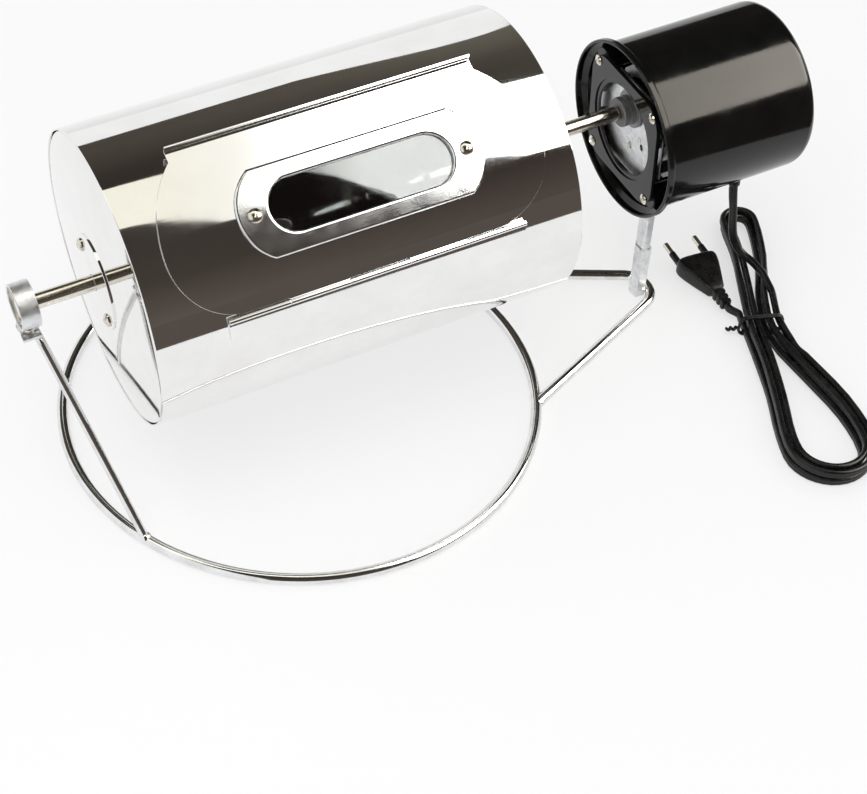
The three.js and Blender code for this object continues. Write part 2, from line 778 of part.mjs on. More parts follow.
// What is left of a wire beyond the ring, without the stub inside it.
function outsideRing(made) {
  const parts = without(made, ringKeepOut).decompose();
  return parts.reduce((largest, part) => (part.volume() > largest.volume() ? part : largest));
}

const footUnderside = new THREE.Vector3(bearingX + legTopInset, 0, earBottom).applyMatrix4(driveFrame);

function legHairpin() {
  const foot = new THREE.Vector3(ringX - ringFootX(legFootHalfSpread), 0, ringHeight);
  const top = footUnderside.clone().setZ(footUnderside.z - 2 * gap);
  const rise = top.clone().sub(foot);
  const lean = Math.atan2(-rise.x, rise.z);
  const reach = rise.length() - (legWire / 2) / Math.cos(lean);
  const along = rise.normalize();
  const points = hairpin(legFootHalfSpread, reach, legBend).map(([across, up]) => (
    foot.clone().addScaledVector(along, up).addScaledVector(axisY, across)
  ));
  return outsideRing(wire(points, legWire / 2));
}

// Channel with its open side against the fork's bend, up through the belly of the cover
const forkInnerBend = forkBend - baseWire / 2;
const uprightReach = Math.sqrt(forkInnerBend ** 2 - (uprightWidth / 2) ** 2) - 2 * gap;
const uprightBackX = forkTipX - forkBend + uprightReach;
const uprightFrontX = uprightBackX - uprightDepth;
const coverBellyZ = (x) => new THREE.Vector3(x, 0, -motorDrop - coverRadius).applyMatrix4(driveFrame).z;
const uprightTop = coverBellyZ(uprightFrontX) + uprightInsert;

function channel(depth, lowZ, highZ) {
  const half = uprightWidth / 2;
  const inside = half - uprightWall;
  const backX = uprightFrontX + depth;
  return without(
    box(uprightFrontX, backX, -half, half, lowZ, highZ),
    box(uprightFrontX + uprightWall, backX + overrun, -inside, inside, lowZ - overrun, highZ + overrun),
  );
}

const uprightSheet = joined(
  channel(uprightDepth, uprightLift, uprightStepHeight),
  channel(uprightDepth - uprightStepDepth, uprightStepHeight - uprightStepDepth, uprightTop),
);

// Screw from inside the channel through its web into the lower end of the gearbox's rear plate
const uprightScrewZ = -motorDrop - gearPlateHalfHeight + uprightScrewEdge;
const webBackX = new THREE.Vector3(uprightFrontX + uprightWall, 0, uprightTop).applyMatrix4(standFrame).x;
const uprightScrewHole = at(
  rod(webBackX - overrun, webBackX + overrun, uprightScrewRadius + gap, 0, screwFacets), 0, uprightScrewZ,
).transform(driveFrame.toArray());
const motorUpright = without(uprightSheet, uprightScrewHole);

// Motor cover

const coverAxis = (made) => at(made, 0, -motorDrop);
const coverBore = coverRadius - coverWall;
const lipBackX = coverFrontX + coverLipWidth;
const adapterX = coverFrontX + adapterSetback;
const adapterBackX = adapterX + adapterThickness;
const bossFrontX = adapterBackX + gap;
const cornerSigns = [[-1, -1], [-1, 1], [1, -1], [1, 1]];
const adapterScrewPlaces = cornerSigns.map(([y, z]) => [
  (y * adapterScrewSpacing) / 2, (z * adapterScrewSpacing) / 2 - motorDrop,
]);

function coverCup() {
  const corner = (radius) => [...Array(coverCornerSteps + 1).keys()].map((step) => {
    const angle = (step * Math.PI) / 2 / coverCornerSteps;
    return [radius * Math.sin(angle), radius * (Math.cos(angle) - 1)];
  });
  const outer = corner(coverCorner).map(([x, r]) => [coverBackX - coverCorner + x, coverRadius + r]);
  const innerCorner = coverCorner - coverWall;
  const inner = corner(innerCorner).map(([x, r]) => [coverBackX - coverCorner + x, coverBore + r]);
  return coverAxis(turned([
    [coverFrontX, coverLipRadius], [lipBackX, coverLipRadius], [lipBackX + coverLipSlope, coverRadius],
    ...outer, [coverBackX, 0], [coverBackX - coverWall, 0], ...inner.reverse(),
    [lipBackX + coverLipSlope, coverBore], [lipBackX, coverLipRadius - coverWall],
    [coverFrontX, coverLipRadius - coverWall],
  ], coverFacets));
}

const reliefHoleRadius = reliefTopRadius - reliefCollar + gap;
const reliefPlace = new THREE.Matrix4().makeRotationY(Math.PI / 2)
  .setPosition(reliefX, 0, -motorDrop - coverRadius);

function motorCover() {
  const bossBackX = bossFrontX + bossLength;
  const bosses = adapterScrewPlaces.map(([y, z]) => at(rod(bossFrontX, bossBackX, bossRadius), y, z));
  const within = coverAxis(rod(coverFrontX, coverBackX, coverRadius - coverWall / 2, 0, coverFacets));
  const pilots = adapterScrewPlaces.map(([y, z]) => (
    at(rod(coverFrontX, bossBackX + overrun, adapterScrewShank + gap, 0, screwFacets), y, z)
  ));
  const uprightHole = box(
    uprightFrontX - 2 * gap, uprightBackX + 2 * gap, -uprightWidth / 2 - 2 * gap, uprightWidth / 2 + 2 * gap,
    uprightStepHeight, uprightTop + overrun,
  ).transform(standFrame.toArray());
  const reliefHole = rod(-coverRadius / 2, coverRadius / 2, reliefHoleRadius, 0, screwFacets)
    .transform(reliefPlace.toArray());
  const ribbed = bosses.map((boss) => boss.intersect(within));
  return without(joined(coverCup(), ...ribbed), ...pilots, uprightHole, reliefHole);
}

// Adapter plate, its round hole stepped at the front

function adapterPlate() {
  const outline = roundedRectangle(adapterSize / 2, adapterSize / 2, adapterCorner);
  const holes = adapterScrewPlaces.map(([y, z]) => (
    at(rod(coverFrontX - overrun, adapterBackX + overrun, adapterScrewShank + gap, 0, screwFacets), y, z)
  ));
  return without(
    coverAxis(plate(outline, adapterX, adapterBackX)),
    coverAxis(rod(coverFrontX - overrun, adapterBackX + overrun, adapterHoleRadius, 0, coverFacets)),
    coverAxis(rod(adapterX - overrun, adapterX + adapterStepDepth, adapterStepRadius, 0, coverFacets)),
    ...holes,
  );
}

const adapterScrew = ([y, z]) => at(leftwards(
  domedScrew(adapterScrewHead, adapterScrewHeadHeight, adapterScrewShank, adapterScrewLength)
    .translate([-adapterX + gap, 0, 0]),
), y, z);

// Gearbox: two plates held apart by stepped posts, which also carry the stator

const frontPlateBackX = gearPlateX + gearPlateThickness;
const rearPlateX = frontPlateBackX + gearRoom;
const rearPlateBackX = rearPlateX + gearPlateThickness;
const statorX = rearPlateBackX + statorGap;
const statorBackX = statorX + statorLength;
const bracketX = statorBackX + bracketGap;
const postPlaces = cornerSigns.map(([y, z]) => [(y * postSpacingY) / 2, (z * postSpacingZ) / 2 - motorDrop]);

const outwardsFrom = ([y, z], distance, direction) => [
  y + distance * Math.cos(direction), z + distance * Math.sin(direction),
];
const pitchRadius = (teeth) => (gearModule * teeth) / 2;
const meshDistance = (first, second) => pitchRadius(first) + pitchRadius(second);
const outputPlace = [0, 0];
const gearBPlace = outwardsFrom(outputPlace, meshDistance(outputTeeth, pinionTeeth), gearBDirection);
const gearAPlace = outwardsFrom(gearBPlace, meshDistance(wheelTeeth, pinionTeeth), gearADirection);
const rotorPlace = outwardsFrom(gearAPlace, meshDistance(wheelTeeth, pinionTeeth), rotorDirection);

function chamferedOutline() {
  const [y, z] = [gearPlateHalfWidth, gearPlateHalfHeight];
  const [cutY, cutZ] = [gearPlateChamferReach - z, gearPlateChamferReach - y];
  return polygon([
    [y, cutZ], [cutY, z], [-cutY, z], [-y, cutZ], [-y, -cutZ], [-cutY, -z], [cutY, -z], [y, -cutZ],
  ]);
}

const bored = (radius, places, fromX, toX, facets = screwFacets) => places.map(([y, z]) => (
  at(rod(fromX - overrun, toX + overrun, radius, 0, facets), y, z)
));

function gearPlate(fromX, holes) {
  const body = coverAxis(plate(chamferedOutline(), fromX, fromX + gearPlateThickness));
  const ends = [fromX, fromX + gearPlateThickness];
  const posts = bored(postNeckRadius + gap, postPlaces, ...ends);
  const cuts = holes.flatMap(([place, radius]) => bored(radius, [place], ...ends));
  return without(body, ...posts, ...cuts);
}

const arborHole = arborRadius + gap;
const frontPlate = gearPlate(gearPlateX, [
  [outputPlace, outputRadius + gap], [gearAPlace, arborHole], [gearBPlace, arborHole],
]);
const rearPlate = gearPlate(rearPlateX, [
  [outputPlace, outputRadius + gap], [gearAPlace, arborHole], [gearBPlace, arborHole],
  [rotorPlace, rotorArborRadius + gap], [[0, uprightScrewZ], uprightScrewRadius + gap],
]);

const postEndX = bracketX + bracketThickness + postTail;
function gearboxPost([y, z]) {
  const neck = (fromX, toX) => [[fromX - gap, postNeckRadius], [toX + gap, postNeckRadius]];
  return at(turned([
    [adapterBackX + gap, 0], [postEndX, 0], [postEndX, postNeckRadius],
    ...neck(bracketX, bracketX + bracketThickness).reverse(),
    ...neck(statorX, statorBackX).reverse(),
    [statorX - gap, postRadius], [rearPlateBackX + gap, postRadius],
    ...neck(rearPlateX, rearPlateBackX).reverse(),
    [rearPlateX - gap, postRadius], [frontPlateBackX + gap, postRadius],
    ...neck(gearPlateX, frontPlateBackX).reverse(),
    [gearPlateX - gap, postRadius], [adapterBackX + gap, postRadius],
  ], wireSides), y, z);
}

const uprightScrewSeat = webBackX + 2 * gap;
const uprightScrew = at(
  domedScrew(uprightScrewHead, uprightScrewHead / 2, uprightScrewRadius, uprightScrewSeat - rearPlateX)
    .translate([uprightScrewSeat, 0, 0]),
  0, uprightScrewZ,
);

const outputBush = joined(
  rod(bushFrontX, gearPlateX - gap, bushRadius, outputRadius + gap),
  rod(gearPlateX - gap - bushFlangeThickness, gearPlateX - gap, bushFlangeRadius, outputRadius + gap),
);

// Gears

// Toothed disc with its first tooth at an angle, in Y and Z.
function toothed(teeth, fromX, phase) {
  const pitch = pitchRadius(teeth);
  const tip = pitch + gearModule * addendumShare;
  const root = pitch - gearModule * dedendumShare;
  const halfTip = (Math.PI / teeth) * tipShare;
  const points = [];
  for (let tooth = 0; tooth < teeth; tooth++) {
    const middle = phase + (tooth * 2 * Math.PI) / teeth;
    const corners = [[root, -Math.PI / teeth], [tip, -halfTip], [tip, halfTip]];
    corners.forEach(([radius, turn]) => {
      points.push([radius * Math.cos(middle + turn), radius * Math.sin(middle + turn)]);
    });
  }
  return plate(polygon(points), fromX, fromX + gearWidth);
}

// The phase that puts a gap of the follower opposite a tooth of its driver.
function meshPhase(driverTeeth, driverPhase, followerTeeth, direction) {
  const driverTurn = driverTeeth * (direction - driverPhase);
  return direction + Math.PI - (Math.PI - driverTurn) / followerTeeth;
}

const outputLayerX = frontPlateBackX + gap + gearLayer / 4;
const middleLayerX = outputLayerX + gearLayer;
const motorLayerX = middleLayerX + gearLayer;
const gearBPinionPhase = meshPhase(outputTeeth, 0, pinionTeeth, gearBDirection);
const gearAPinionPhase = meshPhase(wheelTeeth, 0, pinionTeeth, gearADirection);
const rotorPinionPhase = meshPhase(wheelTeeth, 0, pinionTeeth, rotorDirection);
const hubRadius = pitchRadius(pinionTeeth) - gearModule * dedendumShare;

// A wheel and a pinion on one arbor between the plates.
function gearArbor([y, z], wheelX, pinionX, pinionPhase) {
  return at(joined(
    rod(gearPlateX - gap, rearPlateBackX + gap, arborRadius, 0, screwFacets),
    rod(pinionX, wheelX + gearWidth, hubRadius, 0, screwFacets),
    toothed(wheelTeeth, wheelX, 0),
    toothed(pinionTeeth, pinionX, pinionPhase),
  ), y, z);
}

const outputArbor = joined(
  rod(sleeveStart + gap, rearPlateBackX + gap, outputRadius),
  rod(frontPlateBackX + gap, outputLayerX, outputRadius + outputSpacerWall),
  toothed(outputTeeth, outputLayerX, 0),
);
const gearB = gearArbor(gearBPlace, middleLayerX, outputLayerX, gearBPinionPhase);
const gearA = gearArbor(gearAPlace, motorLayerX, middleLayerX, gearAPinionPhase);
const rotor = at(joined(
  rod(motorLayerX, bracketX + bracketThickness + rotorArborTail, rotorArborRadius, 0, screwFacets),
  toothed(pinionTeeth, motorLayerX, rotorPinionPhase),
  rod(statorX, statorBackX, rotorRadius),
), ...rotorPlace);

// Stator: a stack with a bore for the rotor and a window under it for the coil

const [rotorY, rotorZ] = rotorPlace;
const coilTopZ = rotorZ - coilDrop;
const windowHalf = coilWindowWidth / 2;
const statorTop = rotorZ + (gearPlateHalfHeight - motorDrop - rotorZ) * statorTopShare;
const statorBottom = coilTopZ - coilWindowHeight - coilLimbHeight;

function motorStator() {
  const outline = roundedRectangle(statorHalfWidth, (statorTop - statorBottom) / 2, statorCorner);
  const body = at(plate(outline, statorX, statorBackX), rotorY, (statorTop + statorBottom) / 2);
  return without(
    body,
    ...bored(rotorRadius + airGap, [rotorPlace], statorX, statorBackX, rodFacets),
    box(
      statorX - overrun, statorBackX + overrun, rotorY - windowHalf, rotorY + windowHalf,
      coilTopZ - coilWindowHeight, coilTopZ,
    ),
    ...bored(postNeckRadius + gap, postPlaces, statorX, statorBackX),
  );
}

// The coil stands in the window, round the stack's lower limb.
function motorCoil() {
  const top = coilTopZ - gap;
  const bottom = statorBottom - (top - (coilTopZ - coilWindowHeight));
  const half = windowHalf - gap;
  return without(
    box(statorX - coilThickness, statorBackX + coilThickness, rotorY - half, rotorY + half, bottom, top),
    box(
      statorX - gap, statorBackX + gap, rotorY - half - overrun, rotorY + half + overrun,
      statorBottom - gap, coilTopZ - coilWindowHeight + gap,
    ),
  );
}

// Strap across the back of the stator, a bearing for the rotor
function rotorBracket() {
  const half = gearPlateHalfWidth;
  const height = (postSpacingZ / 2) + postRadius;
  return without(
    coverAxis(plate(roundedRectangle(half, height, postRadius), bracketX, bracketX + bracketThickness)),
    ...bored(postNeckRadius + gap, postPlaces, bracketX, bracketX + bracketThickness),
    ...bored(rotorArborRadius + gap, [rotorPlace], bracketX, bracketX + bracketThickness),
  );
}

// Cord, its strain relief, hank, tie and plug, placed in the stand's frame

const reliefInnerX = -coverWall - 2 * gap;
const reliefNeck = reliefTopRadius - reliefCollar;
const reliefShoulder = reliefTopRadius - reliefCollar / 2;
const strainRelief = turned([
  [reliefInnerX - reliefCollar, 0], [reliefLength, 0], [reliefLength, reliefBottomRadius],
  [reliefCollar + gap, reliefShoulder], [reliefCollar + gap, reliefTopRadius], [gap, reliefTopRadius],
  [gap, reliefNeck], [reliefInnerX, reliefNeck], [reliefInnerX, reliefShoulder],
  [reliefInnerX - reliefCollar, reliefShoulder],
], screwFacets).transform(reliefPlace.toArray());

const hankAlong = new THREE.Vector3(Math.cos(hankHeading), Math.sin(hankHeading), 0);
const hankAcross = new THREE.Vector3(Math.sin(hankHeading), -Math.cos(hankHeading), 0);
const smooth = (x) => x * x * (3 - 2 * x);

// Place on a loop, [along, across]: steps 0 to 24 run from the top down the right side and up the left.
function loopPlace(phase, inset) {
  const wrapped = ((phase % loopSteps) + loopSteps) % loopSteps;
  const side = wrapped <= loopSteps / 2 ? 1 : -1;
  const step = side > 0 ? wrapped : loopSteps - wrapped;
  const upper = hankUpperHalfWidth - inset;
  const lower = hankLowerHalfWidth - inset;
  const waist = hankWaistHalfWidth - inset;
  const upperEnd = hankUpperReach - hankUpperHalfWidth;
  const lowerEnd = hankLowerReach - hankLowerHalfWidth;
  const runSteps = loopSteps / 2 - 2 * arcSteps;
  const quarter = Math.PI / 2;
  if (step < arcSteps) {
    const angle = (step / arcSteps) * quarter;
    return [upperEnd + upper * Math.cos(angle), side * upper * Math.sin(angle)];
  }
  if (step > arcSteps + runSteps) {
    const angle = ((loopSteps / 2 - step) / arcSteps) * quarter;
    return [-lowerEnd - lower * Math.cos(angle), side * lower * Math.sin(angle)];
  }
  const along = upperEnd - ((step - arcSteps) / runSteps) * (upperEnd + lowerEnd);
  const width = along > 0
    ? waist + (upper - waist) * smooth(along / upperEnd)
    : waist + (lower - waist) * smooth(-along / lowerEnd);
  return [along, side * width];
}

// The flex enters on the upper layer and spirals in, climbs down in half a turn,
// and spirals out on the lower layer.
function hankPoint(turn) {
  const wayIn = Math.floor(hankLoops) / 2;
  const wayOut = wayIn + 1 / 2;
  const inwards = Math.min(turn, wayIn, Math.max(hankLoops - turn, 0) + (2 * wayIn + 1 / 2 - hankLoops));
  const down = THREE.MathUtils.clamp((turn - wayIn) / (wayOut - wayIn), 0, 1);
  const [along, across] = loopPlace(hankStartPhase + turn * loopSteps, inwards * hankPitch);
  const sway = hankSway * (1 - Math.exp(-((along / hankSwayReach) ** 2)));
  const lift = hankLift * Math.exp(-((along / hankLiftReach) ** 2));
  return new THREE.Vector3(...hankWaist, hankRest + (1 - down) * hankLayer + lift)
    .addScaledVector(hankAlong, along).addScaledVector(hankAcross, across + sway);
}

// The flex's section at each point: the corners of an upright oval of few sides.
function flexSections(points) {
  const last = points.length - 1;
  return points.map((point, index) => {
    const before = points[Math.max(index - 1, 0)];
    const after = points[Math.min(index + 1, last)];
    const heading = after.clone().sub(before).normalize();
    const across = new THREE.Vector3().crossVectors(heading, axisZ).normalize();
    const upright = new THREE.Vector3().crossVectors(across, heading);
    return [...Array(cordSides).keys()].map((side) => {
      const angle = ((side + 1 / 2) * 2 * Math.PI) / cordSides;
      return point.clone()
        .addScaledVector(across, (cordThickness / 2) * Math.cos(angle))
        .addScaledVector(upright, (cordWidth / 2) * Math.sin(angle));
    });
  });
}

// A flat flex along points, closed at both ends.
function flex(points) {
  const last = points.length - 1;
  const indices = [];
  for (let ring = 0; ring < last; ring++) {
    for (let side = 0; side < cordSides; side++) {
      const a = ring * cordSides + side;
      const b = ring * cordSides + ((side + 1) % cordSides);
      indices.push(a, b, b + cordSides, a, b + cordSides, a + cordSides);
    }
  }
  for (let side = 1; side < cordSides - 1; side++) {
    const end = last * cordSides;
    indices.push(0, side + 1, side, end, end + side, end + side + 1);
  }
  const geometry = new THREE.BufferGeometry().setFromPoints(flexSections(points).flat());
  geometry.setIndex(indices);
  return solid(geometry);
}

const hankSteps = Math.round(hankLoops * loopSteps);
const hankPoints = [...Array(hankSteps + 1).keys()].map((step) => hankPoint((hankLoops * step) / hankSteps));

// Least room between a loop and another pass of the same flex, taken from corners to edges.
function leastGap(points) {
  const corners = flexSections(points);
  let least = Infinity;
  const nearby = new THREE.Line3();
  const closest = new THREE.Vector3();
  for (let i = 0; i < corners.length; i++) {
    for (let j = i + loopSteps / 2; j < corners.length - 1; j++) {
      for (const corner of corners[i]) {
        for (let side = 0; side < cordSides; side++) {
          nearby.set(corners[j][side], corners[j + 1][side]).closestPointToPoint(corner, true, closest);
          least = Math.min(least, closest.distanceTo(corner));
        }
      }
    }
  }
  return least;
}
console.log(`cord hank: least gap to itself ${leastGap(hankPoints).toFixed(2)} mm`);

// Ends of the free stretches: square to what they meet, straight for one thickness
const flexEnd = (place, heading) => [gap, gap + cordThickness].map((reach) => (
  place.clone().addScaledVector(heading, reach)
));
const headingTo = (from, to) => to.clone().sub(from).normalize();
const down = axisZ.clone().negate().transformDirection(driveFrame);
const reliefEnd = new THREE.Vector3(reliefX, 0, -motorDrop - coverRadius - reliefLength)
  .applyMatrix4(driveFrame);
const tailStart = new THREE.Vector3(...plugTail);
const plugHeading = headingTo(tailStart, new THREE.Vector3(...plugNose));
const [hankStart, afterStart] = hankPoints;
const [beforeEnd, hankEnd] = hankPoints.slice(-2);
const leadPoints = [
  ...flexEnd(reliefEnd, down), ...leadRoute.map((place) => new THREE.Vector3(...place)),
  ...flexEnd(hankStart, headingTo(afterStart, hankStart)).reverse(),
];
const tailPoints = [
  ...flexEnd(hankEnd, headingTo(beforeEnd, hankEnd)),
  ...flexEnd(tailStart, plugHeading.clone().negate()).reverse(),
];
const lengthOf = (points) => points.reduce((sum, point, index) => (
  index ? sum + point.distanceTo(points[index - 1]) : 0
), 0);
const cordLength = lengthOf(leadPoints) + lengthOf(hankPoints) + lengthOf(tailPoints);
console.log(`cord length ${cordLength.toFixed(0)} mm`);

// Tie: a loop of wire round the waist of the hank
function cordTie() {
  const lowest = hankRest + hankLift - cordWidth / 2;
  const halfHeight = (hankLayer + cordWidth + tieClearance + tieRoom) / 2;
  const halfWidth = hankWaistHalfWidth + cordThickness / 2 + tieRoom;
  const corner = halfHeight * tieCornerShare;
  const [outer, inner] = [tieWire, 0].map((wall) => solid(new THREE.ExtrudeGeometry(
    roundedRectangle(halfWidth + wall, halfHeight + wall, corner + wall),
    { depth: tieWire, bevelEnabled: false, curveSegments: plateCurve },
  )));
  const stand = new THREE.Matrix4().makeBasis(hankAcross, axisZ, hankAlong.clone().negate())
    .setPosition(...hankWaist, lowest - tieClearance + halfHeight);
  return without(outer, inner).transform(stand.toArray());
}

// Plug: tapered tail, flat body and two pins in one moulding
function plugBody() {
  const across = new THREE.Vector3().crossVectors(plugHeading, axisZ).normalize();
  const upright = new THREE.Vector3().crossVectors(across, plugHeading);
  const length = tailStart.distanceTo(new THREE.Vector3(...plugNose));
  const neck = plugNeckHalfWidth;
  const outline = new THREE.Shape();
  outline.moveTo(neck, 0);
  outline.lineTo(neck, plugReliefLength / 2);
  outline.bezierCurveTo(
    neck, plugReliefLength, plugHalfWidth, plugReliefLength, plugHalfWidth, length - plugShoulder,
  );
  outline.lineTo(plugHalfWidth - plugEdge, length);
  outline.lineTo(plugEdge - plugHalfWidth, length);
  outline.lineTo(-plugHalfWidth, length - plugShoulder);
  outline.bezierCurveTo(-plugHalfWidth, plugReliefLength, -neck, plugReliefLength, -neck, plugReliefLength / 2);
  outline.lineTo(-neck, 0);
  outline.closePath();
  const body = new THREE.ExtrudeGeometry(outline, {
    depth: 2 * plugHalfThickness, bevelEnabled: false, curveSegments: plateCurve,
  });
  body.translate(0, 0, -plugHalfThickness);
  const side = polygon([
    [0, -plugNeckHalfThickness], [plugReliefLength, -plugNeckHalfThickness - plugEdge],
    [length - plugShoulder, -plugHalfThickness],
    [length, -plugHalfThickness], [length, plugHalfThickness], [length - plugShoulder, plugHalfThickness],
    [plugReliefLength, plugNeckHalfThickness + plugEdge], [0, plugNeckHalfThickness],
  ]);
  const sideBody = new THREE.ExtrudeGeometry(side, { depth: 2 * plugHalfWidth, bevelEnabled: false });
  sideBody.applyMatrix4(new THREE.Matrix4().makeBasis(axisY, axisZ, axisX)).translate(-plugHalfWidth, 0, 0);
  const moulded = solid(body).intersect(solid(sideBody));
  const pins = [-1, 1].map((sign) => solid(
    new THREE.CylinderGeometry(plugPinRadius, plugPinRadius, plugPinLength + plugEdge, screwFacets)
      .translate((sign * plugPinSpacing) / 2, length + (plugPinLength - plugEdge) / 2, 0),
  ));
  const stand = new THREE.Matrix4().makeBasis(across, plugHeading, upright).setPosition(tailStart);
  return joined(moulded, ...pins).transform(stand.toArray());
}

// Assembly

const driveLine = new THREE.Group();
driveLine.rotation.y = -tiltAngle;
driveLine.position.z = axisHeight;

const flangeScrew = (place) => at(
  domedScrew(screwHeadRadius, screwHeadHeight, screwShankRadius, flangeScrewLength)
    .translate([flangeScrewSeat, 0, 0]),
  place.y, place.z,
);

driveLine.add(
  piece('drum_shell', shell, 'mirrorSteel'),
  piece('left_end_plate', leftwards(endPlate()), 'mirrorSteel'),
  piece('right_end_plate', endPlate(), 'mirrorSteel'),
  piece('left_flange', leftwards(flange()), 'mirrorSteel'),
  piece('right_flange', flange(), 'mirrorSteel'),
  piece('left_shaft', leftwards(headedShaft(-leftShaftEnd)), 'shaftSteel'),
  piece('right_shaft', rightShaft, 'shaftSteel'),
  piece('shaft_set_screw', setScrew, 'blackMetal'),
  piece('hinge_leaf', hingeLeaf, 'mirrorSteel'),
  piece('hinge_pin', hingePin, 'shaftSteel'),
  piece('door_catch', doorCatch(), 'magnet'),
  piece('output_shaft', outputArbor, 'shaftSteel'),
  piece('bearing_inner_race', aroundBearing(innerRaceOuter, shaftHole, bearingWidth), 'shaftSteel'),
);
flangeScrewPlaces.forEach((place, index) => {
  driveLine.add(piece(`left_flange_screw_${index + 1}`, leftwards(flangeScrew(place)), 'shaftSteel'));
  driveLine.add(piece(`right_flange_screw_${index + 1}`, flangeScrew(place), 'shaftSteel'));
});
for (let index = 0; index < vaneCount; index++) {
  driveLine.add(piece(`mixing_vane_${index + 1}`, vane(index), 'mirrorSteel'));
}

// Door pieces
driveLine.add(
  piece('door_panel', doorPanel(), 'mirrorSteel'),
  piece('window_frame', windowFrame(), 'mirrorSteel'),
  piece('window_glass', windowGlass, 'glass'),
  piece('window_back_frame', windowBackFrame(), 'mirrorSteel'),
);
windowScrewPlaces.forEach((x, index) => {
  const screw = domedScrew(screwHeadRadius, screwHeadHeight, screwShankRadius, windowScrewLength);
  driveLine.add(piece(
    `window_screw_${index + 1}`, throughDoor(screw.translate([windowScrewSeat, 0, 0]), x), 'shaftSteel',
  ));
});

// Bearing and motor pieces
driveLine.add(
  piece('bearing_band', bearingBand(), 'zinc'),
  piece('band_screw', bandScrew, 'shaftSteel'),
  piece('bearing_outer_race', aroundBearing(bearingOuterRadius, outerRaceInner, bearingWidth), 'shaftSteel'),
  piece('bearing_cage', bearingCage(), 'brass'),
  piece('motor_cover', motorCover(), 'blackPlastic'),
  piece('adapter_plate', adapterPlate(), 'blackPlastic'),
  piece('gearbox_front_plate', frontPlate, 'zinc'),
  piece('gearbox_rear_plate', rearPlate, 'zinc'),
  piece('upright_screw', uprightScrew, 'shaftSteel'),
  piece('output_bush', outputBush, 'zinc'),
  piece('gear_a', gearA, 'gearNylon'),
  piece('gear_b', gearB, 'gearNylon'),
  piece('rotor', rotor, 'laminations'),
  piece('motor_stator', motorStator(), 'laminations'),
  piece('motor_coil', motorCoil(), 'coilTape'),
  piece('rotor_bracket', rotorBracket(), 'zinc'),
  piece('strain_relief', strainRelief, 'blackPlastic'),
);
adapterScrewPlaces.forEach((place, index) => {
  driveLine.add(piece(`adapter_screw_${index + 1}`, adapterScrew(place), 'shaftSteel'));
});
postPlaces.forEach((place, index) => {
  driveLine.add(piece(`gearbox_post_${index + 1}`, gearboxPost(place), 'blackMetal'));
});

const stand = new THREE.Group();
stand.add(
  piece('base_ring', wireRing(baseWire / 2), 'wireChrome'),
  piece('base_fork', baseFork(), 'wireChrome'),
  piece('leg_hairpin', legHairpin(), 'wireChrome'),
  piece('motor_upright', motorUpright, 'zinc'),
);

const cordSet = new THREE.Group();
cordSet.add(
  piece('cord_lead', flex(leadPoints), 'cordBlack'),
  piece('cord_hank', flex(hankPoints), 'cordBlack'),
  piece('cord_tail', flex(tailPoints), 'cordBlack'),
  piece('cord_tie', cordTie(), 'cordBlack'),
  piece('plug_body', plugBody(), 'cordBlack'),
);

const machine = new THREE.Group();
machine.add(stand, driveLine, cordSet);

// The cord lies beside the stand and doesn't move the middle of the footprint.
machine.updateMatrixWorld(true);
const footprint = new THREE.Box3();
[stand, driveLine].forEach((group) => footprint.expandByObject(group, true));
machine.position.x = -(footprint.min.x + footprint.max.x) / 2;

const roaster = new THREE.Group();
roaster.add(machine);
export default roaster;
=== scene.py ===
"""Home coffee bean roaster: a polished drum with a loading door, on a wire stand, turned by a geared motor.

Shapes are drawn in millimetres, in the stand's own frame or in the drive line's tilted frame,
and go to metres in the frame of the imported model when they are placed.
"""

import math

import bmesh
import bpy
from mathutils import Matrix, Vector


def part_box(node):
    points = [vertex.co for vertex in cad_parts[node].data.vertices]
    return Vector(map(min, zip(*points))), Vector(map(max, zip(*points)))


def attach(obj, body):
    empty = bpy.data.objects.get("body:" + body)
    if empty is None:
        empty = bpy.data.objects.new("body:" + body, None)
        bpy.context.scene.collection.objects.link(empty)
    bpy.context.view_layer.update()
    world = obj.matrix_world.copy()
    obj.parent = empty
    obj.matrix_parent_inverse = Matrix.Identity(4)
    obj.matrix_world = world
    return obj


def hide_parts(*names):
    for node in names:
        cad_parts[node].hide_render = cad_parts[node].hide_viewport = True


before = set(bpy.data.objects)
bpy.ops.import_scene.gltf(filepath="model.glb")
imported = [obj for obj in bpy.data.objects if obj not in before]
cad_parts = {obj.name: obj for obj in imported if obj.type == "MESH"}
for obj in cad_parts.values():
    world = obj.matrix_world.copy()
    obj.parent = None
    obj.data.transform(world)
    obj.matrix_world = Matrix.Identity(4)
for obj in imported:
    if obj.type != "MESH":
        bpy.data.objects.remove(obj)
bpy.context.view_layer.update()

# Frames

MM = 0.001
TILT = math.radians(2.5)
AXIS_HEIGHT = 131.5
RING_X = -7

ring_low, ring_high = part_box("base_ring")
STAND_X = (ring_low.x + ring_high.x) / 2 / MM - RING_X
STAND = Matrix.Scale(MM, 4) @ Matrix.Translation((STAND_X, 0, 0))
DRIVE = Matrix.Translation((0, 0, AXIS_HEIGHT)) @ Matrix.Rotation(-TILT, 4, "Y")
X, Y, Z = Vector((1, 0, 0)), Vector((0, 1, 0)), Vector((0, 0, 1))

# Sizes in millimetres

SHEET = 1
SHAFT_RADIUS = 4
HOLE_GAP = 0.3
FINE_EDGE = 0.2
SOFT_EDGE = 0.45
ROW_PITCH = 2.6  # of the strips that a curved sheet is bent in

